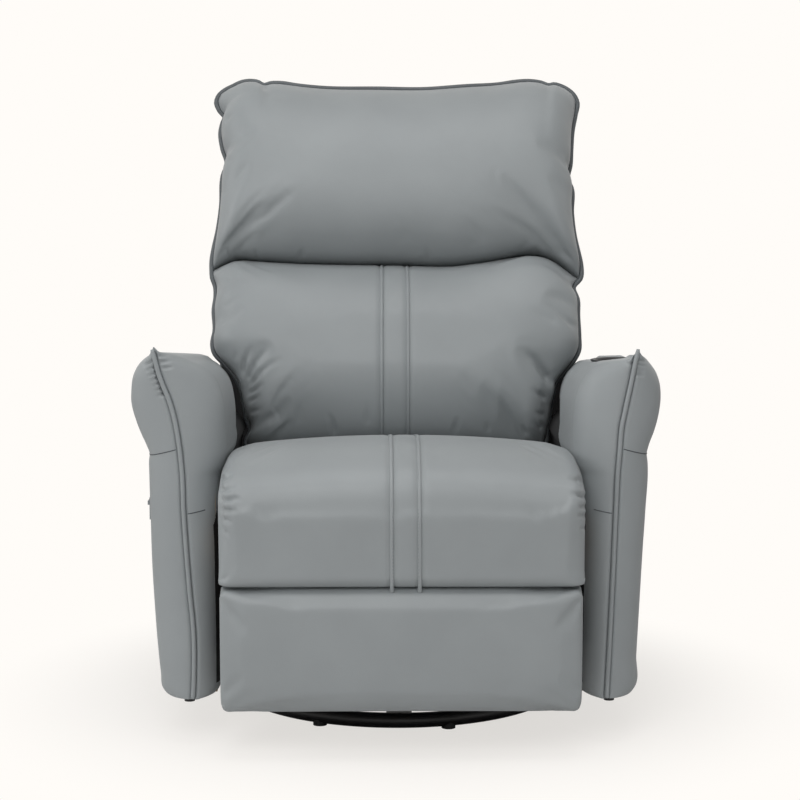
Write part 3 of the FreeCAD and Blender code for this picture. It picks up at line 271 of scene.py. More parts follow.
def near_line(flat, line):
    """Distance of points from a line of points, and the share along it of the nearest place."""
    line = np.array(line, float)
    lengths = np.linalg.norm(np.diff(line, axis=0), axis=1)
    best = np.full(len(flat), 1e9)
    share = np.zeros(len(flat))
    done = 0.0
    for a, b, length in zip(line[:-1], line[1:], lengths):
        t = np.clip((flat - a) @ (b - a) / length**2, 0, 1)
        away = np.linalg.norm(flat - a - t[:, None] * (b - a), axis=1)
        nearer = away < best
        best[nearer] = away[nearer]
        share[nearer] = (done + t[nearer] * length) / lengths.sum()
        done += length
    return best, share


FOLD_FACING = 4 / 3
FOLD_END = 1.6
FOLD_START = 0.35
FOLD_GROWTH = 6
FOLD_LIP = 0.75
FOLD_FALL = 0.9


def press_folds(piece, folds):
    """Presses creases into the front of a piece: each is a line in the picture, a depth in millimetres
    at its first point, and a half width in pixels."""
    points = points_of(piece.data)
    normals = normals_of(piece.data)
    seen = in_picture(points)
    facing = np.clip(((EYE - points) * normals).sum(1) * FOLD_FACING, 0, 1)
    for line, depth, width in folds:
        away, share = near_line(seen, line)
        ratio = away / width
        fade = np.minimum(1, (1 - share) * FOLD_END) * np.minimum(1, FOLD_START + share * FOLD_GROWTH)
        move = depth / 1000 * fade * facing * (1 - FOLD_LIP * ratio**2) * np.exp(-ratio**2 * FOLD_FALL)
        points = points - normals * move[:, None]
    set_points(piece, points)


def tube(name, path, radius, material, closed=False, sides=10, flat=1.0, out=None):
    """A round or flattened tube along a path; out gives the direction of its flat side's normal."""
    path = np.array(path, float)
    count = len(path)
    ahead = np.roll(path, -1, 0) - np.roll(path, 1, 0)
    if not closed:
        ahead[0] = path[1] - path[0]
        ahead[-1] = path[-1] - path[-2]
    ahead = unit(ahead)
    up = np.tile((0.0, -1.0, 0.2), (count, 1)) if out is None else np.array(out, float)
    side = unit(np.cross(ahead, up))
    up = np.cross(side, ahead)
    turn = np.arange(sides) * 2 * math.pi / sides
    size = np.broadcast_to(np.asarray(radius, float), count)[:, None, None]
    rings = path[:, None] + size * (np.cos(turn)[None, :, None] * side[:, None]
                                    + flat * np.sin(turn)[None, :, None] * up[:, None])
    points = rings.reshape(-1, 3)
    faces = grid_faces(count, sides, wrap=True)
    first, last = end_caps(count, sides)
    faces += ring_faces(last, first) if closed else [first, last]
    return mesh_piece(name, points, faces, material)


def hit(tree, start, direction):
    """Where a ray meets a surface, and the surface's normal there."""
    place, normal, _, _ = tree.ray_cast(Vector(start), Vector(direction))
    return (None, None) if place is None else (np.array(place), np.array(normal))


# Materials

def srgb(red, green, blue):
    """Linear colour of 0 to 255 screen values."""
    values = [v / 255 for v in (red, green, blue)]
    return tuple(v / 12.92 if v <= 0.04045 else ((v + 0.055) / 1.055) ** 2.4 for v in values) + (1.0,)


def add_node(tree, kind, **values):
    """A shader node with the given inputs and settings."""
    made = tree.nodes.new(kind)
    for key, value in values.items():
        if key in made.inputs:
            made.inputs[key].default_value = value
        else:
            setattr(made, key, value)
    return made


def end_in_mix(tree, share, first, second, output):
    """Ends a node tree in a mix of two shaders."""
    mix = add_node(tree, "ShaderNodeMixShader")
    for source, socket in ((share, 0), (first, 1), (second, 2)):
        tree.links.new(source, mix.inputs[socket])
    tree.links.new(mix.outputs["Shader"], tree.nodes[output].inputs["Surface"])


class Finish:
    """A procedural material that varies a colour, a roughness and a bump over object space."""

    def __init__(self, name, roughness, metallic=0.0, specular=0.5):
        self.material = bpy.data.materials.new(name)
        self.material.use_nodes = True
        self.tree = self.material.node_tree
        self.shader = self.tree.nodes["Principled BSDF"]
        self.shader.inputs["Metallic"].default_value = metallic
        self.shader.inputs["Specular IOR Level"].default_value = specular
        self.shader.inputs["Roughness"].default_value = roughness
        self.link = self.tree.links.new
        self.place = self.tree.nodes.new("ShaderNodeTexCoord").outputs["Object"]

    def node(self, kind, **values):
        return add_node(self.tree, kind, **values)

    def noise(self, scale, detail=3.0, stretch=(1, 1, 1)):
        mapping = self.node("ShaderNodeMapping", Scale=stretch)
        self.link(self.place, mapping.inputs["Vector"])
        texture = self.node("ShaderNodeTexNoise", Scale=scale, Detail=detail)
        self.link(mapping.outputs["Vector"], texture.inputs["Vector"])
        return texture.outputs["Fac"]

    def cells(self, scale):
        texture = self.node("ShaderNodeTexVoronoi", Scale=scale)
        self.link(self.place, texture.inputs["Vector"])
        return texture.outputs["Distance"]

    def ramp(self, source, stops):
        made = self.node("ShaderNodeValToRGB")
        while len(made.color_ramp.elements) < len(stops):
            made.color_ramp.elements.new(0.5)
        for element, (place, colour) in zip(made.color_ramp.elements, stops):
            element.position = place
            element.color = colour
        self.link(source, made.inputs["Fac"])
        return made.outputs["Color"]

    def colour(self, source, stops):
        self.link(self.ramp(source, stops), self.shader.inputs["Base Color"])

    def rough(self, source, low, high):
        spread = self.node("ShaderNodeMapRange", **{"To Min": low, "To Max": high})
        self.link(source, spread.inputs["Value"])
        self.link(spread.outputs["Result"], self.shader.inputs["Roughness"])

    def bump(self, *layers):
        normal = None
        for source, strength, depth in layers:
            made = self.node("ShaderNodeBump", Strength=strength, Distance=depth)
            self.link(source, made.inputs["Height"])
            if normal:
                self.link(normal, made.inputs["Normal"])
            normal = made.outputs["Normal"]
        self.link(normal, self.shader.inputs["Normal"])


def leather(name, dark, light, roughness):
    finish = Finish(name, roughness, specular=0.42)
    finish.colour(finish.noise(9.0, 4.0), [(0.3, srgb(*dark)), (0.7, srgb(*light))])
    finish.rough(finish.noise(60.0, 4.0), roughness - 0.05, roughness + 0.06)
    finish.bump((finish.cells(620.0), 0.1, 0.0006), (finish.noise(1500.0, 2.0), 0.06, 0.0004),
                (finish.noise(28.0, 3.0), 0.05, 0.003))
    finish.shader.inputs["Sheen Weight"].default_value = 0.05
    finish.shader.inputs["Sheen Roughness"].default_value = 0.5
    return finish.material


def speckled(name, dark, light, roughness, spread=(0.07, 0.08), scales=(70.0, 300.0, 1100.0),
             bump=(0.18, 0.0003), detail=2.0, stretch=(1, 1, 1), metallic=0.0, specular=0.45):
    """A hard even surface; scales are those of its colour, roughness and bump."""
    finish = Finish(name, roughness, metallic, specular)
    finish.colour(finish.noise(scales[0]), [(0.3, srgb(*dark)), (0.75, srgb(*light))])
    finish.rough(finish.noise(scales[1], stretch=stretch), roughness - spread[0], roughness + spread[1])
    finish.bump((finish.noise(scales[2], detail), *bump))
    return finish.material


def plywood():
    finish = Finish("frame_wood", 0.62, specular=0.3)
    grain = finish.noise(60.0, 6.0, stretch=(1.0, 0.12, 0.6))
    finish.colour(grain, [(0.25, srgb(122, 96, 68)), (0.5, srgb(142, 114, 82)), (0.8, srgb(158, 130, 98))])
    finish.rough(finish.noise(150.0), 0.52, 0.72)
    finish.bump((grain, 0.15, 0.001))
    return finish.material


def strap():
    finish = Finish("elastic_webbing", 0.85, specular=0.2)
    weave = finish.node("ShaderNodeTexWave", Scale=420.0, Distortion=0.4)
    finish.link(finish.place, weave.inputs["Vector"])
    finish.colour(weave.outputs["Fac"], [(0.2, srgb(48, 47, 46)), (0.8, srgb(92, 90, 86))])
    finish.bump((weave.outputs["Fac"], 0.4, 0.0008))
    return finish.material


LEATHER = leather("grey_leather", (146, 151, 153), (151, 156, 158), 0.47)
# Welt leather: the grey leather painted darker, as painted shade for welts that face sideways and back
WELT_LEATHER_PAINTED_SHADE = leather("grey_leather_welt_painted_shade", (82, 86, 89), (92, 97, 100), 0.5)
# Black lining; on the arms' inner faces it is partly real lining and partly painted shade of the gap beside
# the seat and back
LINING_AND_PAINTED_SHADE = speckled("black_lining_and_painted_shade", (16, 16, 18), (27, 27, 29), 0.9)
# Seam colour: painted shadow for the dark crevice of sewn seams
SEAM_SHADOW = speckled("seam_shadow", (70, 74, 77), (82, 86, 89), 0.8)
GREY_PLASTIC = speckled("grey_plastic", (134, 139, 141), (146, 151, 153), 0.45)
THREAD = speckled("grey_thread", (120, 125, 128), (140, 145, 148), 0.6)
POWDER_COAT = speckled("black_powder_coat", (13, 13, 15), (24, 24, 27), 0.42, (0.08, 0.1),
                       (40.0, 220.0, 1400.0), (0.25, 0.0004))
ZINC = speckled("bright_zinc", (158, 160, 163), (196, 197, 198), 0.32, (0.08, 0.1), (90.0, 400.0, 900.0),
                (0.08, 0.0002), detail=3.0, stretch=(1, 6, 1), metallic=1.0, specular=0.5)
FINISHES = {"upholstery": LEATHER, "black_steel": POWDER_COAT, "bright_steel": ZINC, "wood": plywood(),
            "black_plastic": speckled("black_plastic", (17, 17, 19), (28, 28, 31), 0.45),
            "rubber": speckled("black_rubber", (22, 22, 23), (34, 34, 35), 0.75), "webbing": strap()}

for part in frame["record"]["subparts"]:
    node = frame["nodes"][part["node"]]
    node.data.materials.clear()
    node.data.materials.append(FINISHES[part["material_slot"]])
for name in ("release_paddle", "release_bezel"):
    frame["nodes"][name].data.materials[0] = GREY_PLASTIC


def dress(piece, body, stands_for=()):
    """Joins a leather piece to its body and hides the parts that it stands for."""
    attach(piece, body)
    if stands_for:
        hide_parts(*stands_for)


# Back: pillows in the leaning frame of the back, across x, forwards d and up h from the hinge

HINGE = np.array([0.0, 0.236, 0.33])
LEAN = math.radians(15)
ACROSS = np.array([1.0, 0.0, 0.0])
BACK_FORWARD = np.array([0.0, -math.cos(LEAN), math.sin(LEAN)])
BACK_UP = np.array([0.0, math.sin(LEAN), math.cos(LEAN)])


def from_back(x, d, h):
    """Points of the room from places in the back's frame."""
    x, d, h = np.broadcast_arrays(x, d, h)
    return HINGE + x[..., None] * ACROSS + d[..., None] * BACK_FORWARD + h[..., None] * BACK_UP


OUTLINE_DEPTH = 0.028
WELT_DEPTH = mm((30, 88), (260, 86), (370, 76), (560, 62), (680, 46), (740, 44))
OVER_FRAME = 0.64
REAR_ROLL = 0.02
CREASE = mm((-334, 374), (-312, 379), (-295, 381), (-250, 377), (-177, 373), (-101, 371), (6, 370),
    (106, 368), (156, 374), (293, 377), (316, 366), (334, 358))
HEAD_LEFT = mm((374, -334), (392, -334), (412, -331), (446, -324), (494, -318), (549, -316), (573, -309),
    (600, -317), (635, -321), (652, -317), (660, -314), (672, -323), (690, -330))
HEAD_RIGHT = mm((358, 334), (385, 335), (405, 331), (433, 325), (481, 320), (526, 320.5), (543, 314),
    (570, 319), (600, 321), (635, 324), (665, 330), (690, 334))
HEAD_TOP = mm((-330, 690), (-325, 703), (-315, 712), (-300, 720), (-283, 728), (-268, 730), (-254, 728),
    (-243, 722), (-231, 725.5), (-214, 726), (-180, 721), (-142, 717), (-26, 715), (48, 714), (131, 720),
    (189, 723.5), (225, 729), (245, 730), (268, 727), (283, 722), (291, 724), (303, 721), (318, 713),
    (329, 702), (334, 690))
LUMBAR_LEFT = mm((45, -264), (57, -270), (80, -261), (100, -268), (120, -272), (148, -277), (177, -290),
    (203, -312), (222, -328), (236, -331), (262, -327), (301, -329), (325, -326), (343, -327), (360, -333),
    (374, -334))
LUMBAR_RIGHT = mm((45, 262), (60, 267), (90, 272), (116, 275), (140, 280), (164, 286), (183, 300),
    (202, 316), (226, 329), (250, 329.5), (290, 328), (318, 328), (342, 321), (358, 334))
LUMBAR_LOW = mm((-264, 45), (0, 43), (262, 45))
HEAD_PROFILE = [
    (0.0, 0.058), (0.015, 0.088), (0.04, 0.11), (0.09, 0.134), (0.17, 0.149), (0.27, 0.155),
    (0.38, 0.154), (0.52, 0.15), (0.66, 0.141), (0.78, 0.127), (0.87, 0.11), (0.94, 0.088),
    (0.98, 0.064), (1.0, 0.044)]
LUMBAR_PROFILE = [
    (0.0, 0.086), (0.03, 0.121), (0.07, 0.147), (0.12, 0.164), (0.18, 0.173), (0.25, 0.1765),
    (0.33, 0.176), (0.42, 0.173), (0.52, 0.1685), (0.64, 0.163), (0.76, 0.154), (0.86, 0.142),
    (0.93, 0.125), (0.975, 0.1), (1.0, 0.062)]


def sighted(edge):
    """An outline read at one depth, moved along the line of sight to the welt's own depth."""
    x, h = np.array(edge, float).T
    start = from_back(x, np.full(len(x), OUTLINE_DEPTH), h)
    eye_depth = (EYE - HINGE) @ BACK_FORWARD
    t = (through(WELT_DEPTH, h) - eye_depth) / (OUTLINE_DEPTH - eye_depth)
    moved = EYE + t[:, None] * (start - EYE) - HINGE
    return [(float(px), float(ph)) for px, ph in zip(moved[:, 0], moved @ BACK_UP)]


def sighted_up(edge):
    return swapped(sighted(swapped(edge)))


CREASE_LIFT = 0.015
CREASE_HALF = 0.3345
CREASE_FADE = 0.05
CREASE = sighted([(x, h + CREASE_LIFT * min(1.0, (CREASE_HALF - abs(x)) / CREASE_FADE)) for x, h in CREASE])
HEAD_LEFT, HEAD_RIGHT, HEAD_TOP = sighted_up(HEAD_LEFT), sighted_up(HEAD_RIGHT), sighted(HEAD_TOP)
LUMBAR_LEFT, LUMBAR_RIGHT = sighted_up(LUMBAR_LEFT), sighted_up(LUMBAR_RIGHT)
LUMBAR_LOW = sighted(LUMBAR_LOW)

SWELL_POWER = 2.3
PILLOW_ROUND = 0.046
PILLOW_GRID = (104, 56)
PILLOW_AIR = (4.0, 0.05, 0.015)
SLACK_BAND = 0.05
SEAM_GAP = 0.001
REAR_RINGS = [(0.004, 0.018, 0.3), (0.016, -0.008, 1.0), (0.064, -0.009, 1.0), (0.07, 0.017, 0.0)]
ROLL_BAND = 0.01


def back_pillow(name, low, high, left, right, profile):
    """A pillow between four edges: a swelling front, and a rear that lies against the back's frame."""
    columns, rows = PILLOW_GRID
    u = crowd(columns, 0.55)[None, :]
    v = crowd(rows, 0.5)[:, None]

    def edge_across(edge):
        x = edge[0][0] + (edge[-1][0] - edge[0][0]) * u[0]
        return np.stack([x, through(edge, x)], 1)[None]

    def edge_up(edge):
        h = edge[0][0] + (edge[-1][0] - edge[0][0]) * v[:, 0]
        return np.stack([through(edge, h), h], 1)[:, None]

    bottom, top, start, end = edge_across(low), edge_across(high), edge_up(left), edge_up(right)
    u, v = u[..., None], v[..., None]
    corners = ((1 - u) * (1 - v) * bottom[:, :1] + u * (1 - v) * bottom[:, -1:]
               + (1 - u) * v * top[:, :1] + u * v * top[:, -1:])
    flat = (1 - v) * bottom + v * top + (1 - u) * start + u * end - corners
    width = (end - start)[..., 0]
    inset = np.minimum(u, 1 - u)[..., 0] * width
    swell = (1 - fading(inset, PILLOW_ROUND) ** SWELL_POWER) ** (1 / SWELL_POWER)
    edge_depth = through(WELT_DEPTH, flat[..., 1])
    deep = edge_depth + swell * (through(profile, v[..., 0]) - edge_depth)
    front = from_back(flat[..., 0], deep, flat[..., 1]).reshape(-1, 3)
    loop = grid_border(rows, columns)
    rim = flat.reshape(-1, 2)[loop]
    middle = np.array([0.0, (rim[:, 1].min() + rim[:, 1].max()) / 2])
    spread = rim - middle
    points, faces = [front], grid_faces(rows, columns)
    ring = loop
    first = len(front)
    reach = np.abs(spread).max(0)
    for inward, depth, roll in REAR_RINGS:
        shrunk = middle + spread * (1 - inward / reach)
        over = rising(shrunk[:, 1], OVER_FRAME, ROLL_BAND) * roll * REAR_ROLL
        points.append(from_back(shrunk[:, 0], depth - over, shrunk[:, 1]))
        fresh = list(range(first, first + len(loop)))
        faces += ring_faces(ring, fresh)
        ring = fresh
        first += len(loop)
    piece = mesh_piece(name, np.concatenate(points), faces, LEATHER)
    pinned = np.ones(len(piece.data.vertices), bool)
    inner = np.zeros((rows, columns), bool)
    inner[1:-1, 1:-1] = True
    pinned[:len(front)] = ~inner.ravel()
    slack = np.zeros(len(pinned))
    slack[:len(front)] = fading(inset, SLACK_BAND).ravel()
    inflate(piece, pinned, slack, *PILLOW_AIR)
    subdivide(piece)
    return piece


head = back_pillow("head_pillow", [(x, h + SEAM_GAP) for x, h in CREASE], HEAD_TOP,
                   HEAD_LEFT, HEAD_RIGHT, HEAD_PROFILE)
lumbar = back_pillow("lumbar_pillow", LUMBAR_LOW, [(x, h - SEAM_GAP) for x, h in CREASE],
                     LUMBAR_LEFT, LUMBAR_RIGHT, LUMBAR_PROFILE)

HEAD_FOLDS = [([(257.5, 257), (255, 248)], 2, 3), ([(301, 258), (304, 246)], 1.6, 4),
    ([(430, 259), (425, 244)], 1.8, 4), ([(562, 256), (549, 247)], 1.6, 4),
    ([(570, 260), (560, 249), (552, 246)], 2, 3), ([(231, 254), (226, 246)], 2, 3),
    ([(226, 120), (232, 112)], 3, 3), ([(227, 161), (238, 158)], 2, 4),
    ([(568, 177), (556, 160), (548, 152)], 2, 5), ([(265, 86), (262, 95)], 2, 4)]
LUMBAR_FOLDS = [([(242.8, 374.7), (244.9, 360.7), (251.9, 344.5)], 4.2, 3.2),
    ([(247, 381.7), (254, 364.9), (261.7, 355), (269.5, 347)], 4.6, 3.4),
    ([(247.7, 387.3), (260.3, 371.9), (270.2, 364.2), (283, 357.5)], 4.4, 3.4),
    ([(248.4, 393.6), (256, 388.7), (265, 382)], 3.6, 3),
    ([(249, 401.4), (254.7, 398.5), (261, 394.5)], 3, 2.8),
    ([(249.8, 412.6), (256, 410.5), (264, 408)], 2.6, 2.8), ([(233.7, 360.7), (237.2, 351)], 2, 3),
    ([(335, 434), (332, 421), (326, 411)], 3.4, 3.6), ([(368, 424), (366, 400)], 2, 4),
    ([(224, 299), (231, 291)], 1.6, 2.6), ([(225, 307), (234, 300), (246, 296)], 1.6, 3),
    ([(221, 324), (228, 317)], 1.4, 2.6), ([(215.4, 270), (221, 264), (230, 259.5)], 3, 3),
    ([(575, 327), (564, 317.2), (552.8, 307.3), (540, 301)], 3.4, 3.4),
    ([(556, 322), (544.3, 315.8), (529, 308)], 1.8, 4.5),
    ([(549.5, 381), (541.5, 369.1), (534.5, 359.3), (526, 352)], 7.5, 4.4),
    ([(546, 399), (537.3, 392.9), (529, 388)], 2.6, 3.6), ([(544, 416), (534, 410)], 2.6, 3.2),
    ([(542, 429), (530, 421)], 3, 3.4), ([(454.5, 432), (458, 415)], 2.4, 3.6),
    ([(488, 432), (486.5, 420)], 2, 3.4), ([(526, 435), (521, 424)], 3, 3.4),
    ([(571, 268), (564, 262), (556, 259)], 2.4, 2.8)]
press_folds(head, HEAD_FOLDS)
press_folds(lumbar, LUMBAR_FOLDS)
dress(head, "back", ["head_cushion"])
dress(lumbar, "back", ["lumbar_cushion"])

# Welt round the edge of the back, in leather darkened with painted shade

EDGE_SPACING = 0.006
EDGE_MIDDLE = np.array([0.0, 0.36])
BACK_WELT = 0.0046
BACK_WELT_OUT = 0.0015
BACK_WELT_SINK = 0.002
back_edge = (swapped(LUMBAR_LEFT)[:-1] + swapped(HEAD_LEFT)[:-1] + HEAD_TOP[:-1]
             + swapped(HEAD_RIGHT)[:0:-1] + swapped(LUMBAR_RIGHT)[::-1])
rim = resample(back_edge, EDGE_SPACING)
rim = rim + BACK_WELT_OUT * unit(rim - EDGE_MIDDLE)
welt_path = from_back(rim[:, 0], through(WELT_DEPTH, rim[:, 1]) - BACK_WELT_SINK, rim[:, 1])
dress(tube("back_welt", welt_path, BACK_WELT, WELT_LEATHER_PAINTED_SHADE), "back")

# Outside back: a crowned panel over the rear of the frame

PANEL_LOW = -0.095
PANEL_HIGH = 0.652
PANEL_HALF = mm((-95, 257), (10, 257), (45, 280), (80, 302), (120, 313), (200, 319), (350, 319), (500, 310),
    (652, 302))
PANEL_FRONT = -0.0145
PANEL_EDGE = -0.02
PANEL_CROWN = 0.012
PANEL_CORNER = 0.024
PANEL_GRID = (60, 72)
PANEL_ROUND = 0.012
PANEL_SWELL = 0.008
PANEL_WELT = 0.0035


def outside_back():
    columns, rows = PANEL_GRID
    a = 2 * crowd(columns, 0.6)[None, :] - 1
    b = crowd(rows, 0.6)[:, None]
    h = PANEL_LOW + (PANEL_HIGH - PANEL_LOW) * b
    half = through(PANEL_HALF, h)
    tall = np.minimum(h - PANEL_LOW, PANEL_HIGH - h)
    cut = fading(tall, PANEL_CORNER)
    half = half - PANEL_CORNER * (1 - np.sqrt(1 - cut**2))
    x = a * half
    inset = np.minimum((1 - np.abs(a)) * half, tall)
    swell = np.sqrt(1 - fading(inset, PANEL_ROUND) ** 2)
    crown = (1 - a**2) * (1 - (2 * b - 1) ** 4)
    rear = from_back(x, PANEL_EDGE - PANEL_SWELL * swell - PANEL_CROWN * crown, h + 0 * a).reshape(-1, 3)
    front = from_back(x, np.full(x.shape, PANEL_FRONT), h + 0 * a).reshape(-1, 3)
    loop = grid_border(rows, columns)
    points = np.concatenate([rear, front[loop]])
    ring = list(range(len(rear), len(points)))
    faces = grid_faces(rows, columns) + ring_faces(loop, ring) + [tuple(ring)]
    panel = mesh_piece("outside_back_panel", points, faces, LEATHER)
    panel.data.materials.append(LINING_AND_PAINTED_SHADE)
    panel.data.polygons[len(faces) - 1].material_index = 1
    dress(panel, "back", ["outside_back"])
    # The panel's welt also takes the welt leather with painted shade
    seam = tube("outside_back_welt", rear[loop[::2]], PANEL_WELT, WELT_LEATHER_PAINTED_SHADE, closed=True, sides=8)
    dress(seam, "back")


outside_back()

# Seat and footrest: a closed side profile carried across, rounded off towards the sides

SEAT_SIDES = (-0.267, 0.272)
SEAT_PROFILE = mm((127, 352), (128, 378), (124, 397), (110, 410), (60, 421), (-30, 433.5), (-120, 444.5),
    (-210, 456), (-290, 464.5), (-335, 464), (-374, 457.5), (-405, 448), (-431, 434), (-446.5, 417),
    (-452.5, 398), (-453, 376), (-450, 345), (-448, 315), (-447, 290), (-446.5, 275), (-444.5, 265.5),
    (-438.5, 261.2))
SEAT_UNDER = mm((-425, 260.5), (-385, 260.5), (-380, 267), (-379.5, 310), (-379.5, 346), (-374, 352),
    (-250, 352), (-100, 352), (50, 352))
SEAT_ROUND = 0.024
FOOT_SIDES = (-0.2655, 0.269)
FOOT_PROFILE = mm((-403, 259), (-430, 259.5), (-444, 258.8), (-449, 254), (-450.5, 240), (-450.5, 210),
    (-450.5, 180), (-450, 150), (-448, 110), (-443, 85), (-436, 75.5), (-424, 70.5), (-403, 72.5))
FOOT_UNDER = mm((-401.5, 85), (-401, 165), (-401.5, 246))
FOOT_ROUND = 0.014
ROUND_POWER = 2.6
SIDE_SLACK = 0.04


def bolster(name, profile, under, sides, round_off, columns, spacing, sides_drop, air):
    """A closed profile carried across x; the padded part draws in towards both sides."""
    padded = resample(profile, spacing)
    below = np.array(under, float)
    loop = np.concatenate([padded, below])
    weight = np.r_[np.ones(len(padded)), np.zeros(len(below))]
    ends = min(6, len(padded) // 4)
    weight[:ends] = np.linspace(0.3, 1, ends)
    weight[len(padded) - ends:len(padded)] = np.linspace(1, 0.45, ends)
    tangent = np.roll(loop, -1, 0) - np.roll(loop, 1, 0)
    outward = unit(np.stack([tangent[:, 1], -tangent[:, 0]], 1))
    area = np.sum(loop[:, 0] * np.roll(loop[:, 1], -1) - np.roll(loop[:, 0], -1) * loop[:, 1])
    outward *= math.copysign(1.0, area)
    half = (sides[1] - sides[0]) / 2
    centre = (sides[1] + sides[0]) / 2
    a = 2 * crowd(columns, 0.8) - 1
    rows = []
    for share in a:
        t = rising(abs(share) * half, half - round_off, round_off)
        draw = round_off * (1 - math.sqrt(1 - t**ROUND_POWER))
        draw = draw + sides_drop * share**2 * np.clip(outward[:, 1], 0, 1)
        section = loop - outward * (weight * draw)[:, None]
        rows.append(np.column_stack([np.full(len(loop), centre + share * half), section]))
    points = np.concatenate(rows)
    count = len(loop)
    faces = grid_faces(columns, count, wrap=True)
    piece = mesh_piece(name, points, faces, LEATHER)
    pinned = np.tile(weight < 0.5, columns)
    pinned[:count] = pinned[-count:] = True
    side_slack = fading(half - np.abs(a) * half, SIDE_SLACK)
    inflate(piece, pinned, np.repeat(side_slack, count) * np.tile(weight, columns), *air)
    subdivide(piece)
    return piece


seat = bolster("seat_cushion_cover", SEAT_PROFILE, SEAT_UNDER, SEAT_SIDES, SEAT_ROUND,
               columns=92, spacing=0.0056, sides_drop=0.017, air=(3.5, 0.03, 0.003))
SEAT_FOLDS = [([(221, 470), (229, 465)], 3.6, 3), ([(221.5, 480), (233, 474)], 4.4, 3),
    ([(222, 490), (236, 486)], 5, 3), ([(222.5, 500), (242, 498)], 5.6, 3),
    ([(222.5, 510), (239, 511)], 5.2, 3), ([(223, 519), (233, 523)], 4, 3),
    ([(224, 530), (229, 538)], 2.6, 3), ([(222, 580), (231, 573)], 2.4, 3.2),
    ([(221, 466), (220.5, 500), (222, 530), (225, 560)], 3, 2.6),
    ([(582, 461), (576, 453), (569, 447)], 5, 3.2), ([(583, 471), (577, 464)], 3.6, 3),
    ([(585, 482), (577, 478.6), (567, 477)], 5.4, 3), ([(586, 497.5), (578, 494), (569, 492)], 5, 3),
    ([(586, 506), (578, 507)], 4, 2.8), ([(586, 515), (576, 516)], 4, 2.8),
    ([(587, 527), (579, 529)], 3, 2.8)]
press_folds(seat, SEAT_FOLDS)
dress(seat, "chair", ["seat_cushion"])

foot = bolster("footrest_cover", FOOT_PROFILE, FOOT_UNDER, FOOT_SIDES, FOOT_ROUND,
               columns=84, spacing=0.006, sides_drop=0.001, air=(2.0, 0.015, 0.005))
dress(foot, "footrest", ["footrest_pad"])

# Crevice cloth: joins the foot of the back to the rear of the seat

FLAP_PATH = mm((130.5, 338), (133.5, 356), (142, 374), (153, 392), (168, 412))
FLAP_HALF = 0.236
FLAP_THICK = 0.003
FLAP_BEHIND = np.array([0.8, -0.6])
FLAP_STEP = 0.005
FLAP_COLUMNS = 9


def crevice_flap():
    face = resample(FLAP_PATH, FLAP_STEP)
    section = np.concatenate([face, face[::-1] + FLAP_BEHIND * FLAP_THICK])
    across = np.linspace(-FLAP_HALF, FLAP_HALF, FLAP_COLUMNS)
    points = np.concatenate([np.column_stack([np.full(len(section), x), section]) for x in across])
    faces = grid_faces(len(across), len(section), wrap=True) + end_caps(len(across), len(section))
    piece = mesh_piece("crevice_flap", points, faces, LEATHER)
    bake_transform(piece)


crevice_flap()

# Raised ridges with topstitching down the lumbar pillow and the seat

RIDGE_HALF = 0.0029
RIDGE_RISE = 0.55
RIDGE_SINK = 0.001
GROOVE = (0.0028, 0.006)
STITCH_STEP = 0.0052
STITCH_HALF = 0.0013
STITCH_RADIUS = 0.00042
STITCH_ASIDE = 0.0014
STITCH_SIDES = 6


def surface_tree(piece):
    return BVHTree.FromPolygons([tuple(p) for p in points_of(piece.data)],
                                [tuple(p.vertices) for p in piece.data.polygons])


def ridge(kind, side_name, piece, path, out, aside, body):
    """A corded ridge that sits in a groove of a piece's surface, with stitches beside it."""
    depth, width = GROOVE
    points = points_of(piece.data)
    away, _ = near_line(points, path)
    move = depth * np.exp(-(away / width) ** 2)
    set_points(piece, points - normals_of(piece.data) * move[:, None])
    path = path - out * RIDGE_SINK
    cord = tube(f"{kind}_ridge_{side_name}", path, RIDGE_HALF, LEATHER, sides=12, flat=RIDGE_RISE, out=out)
    dress(cord, body)
    stitches(f"{kind}_stitches_{side_name}", path, out, aside, body)


def stitches(name, path, out, aside, body):
    """A row of short stitches beside a path."""
    path = resample(path, STITCH_STEP / 4)
    ahead = unit(np.gradient(path, axis=0))
    fine, coarse = np.linspace(0, 1, len(path)), np.linspace(0, 1, len(out))
    out = np.stack([np.interp(fine, coarse, column) for column in out.T], 1)
    side = unit(np.cross(ahead, out))
    points, faces = [], []
    for i in range(2, len(path) - 4, 4):
        middle = path[i] + side[i] * aside + out[i] * (RIDGE_HALF * RIDGE_RISE * 0.75)
        near, far = [], []
        for turn in range(STITCH_SIDES):
            angle = turn * 2 * math.pi / STITCH_SIDES
            swing = (side[i] * math.cos(angle) + out[i] * math.sin(angle)) * STITCH_RADIUS
            near.append(len(points))
            far.append(len(points) + 1)
            points += [middle - ahead[i] * STITCH_HALF + swing, middle + ahead[i] * STITCH_HALF + swing]
        faces += ring_faces(near, far) + [tuple(near), tuple(far)]
    thread = mesh_piece(name, points, faces, THREAD)
    dress(thread, body)


LUMBAR_RIDGES = (("left", -0.0265), ("right", 0.019))
LUMBAR_RIDGE_ENDS = (0.372, 0.05)
for side_name, x in LUMBAR_RIDGES:
    starts = from_back(x, 0.4, np.linspace(*LUMBAR_RIDGE_ENDS, 66))
    tree = surface_tree(lumbar)
    found = [hit(tree, start, -BACK_FORWARD) for start in starts]
    path, out = np.array([pair for pair in found if pair[0] is not None]).swapaxes(0, 1)
    ridge("lumbar", side_name, lumbar, path, out, math.copysign(STITCH_ASIDE, x), "back")

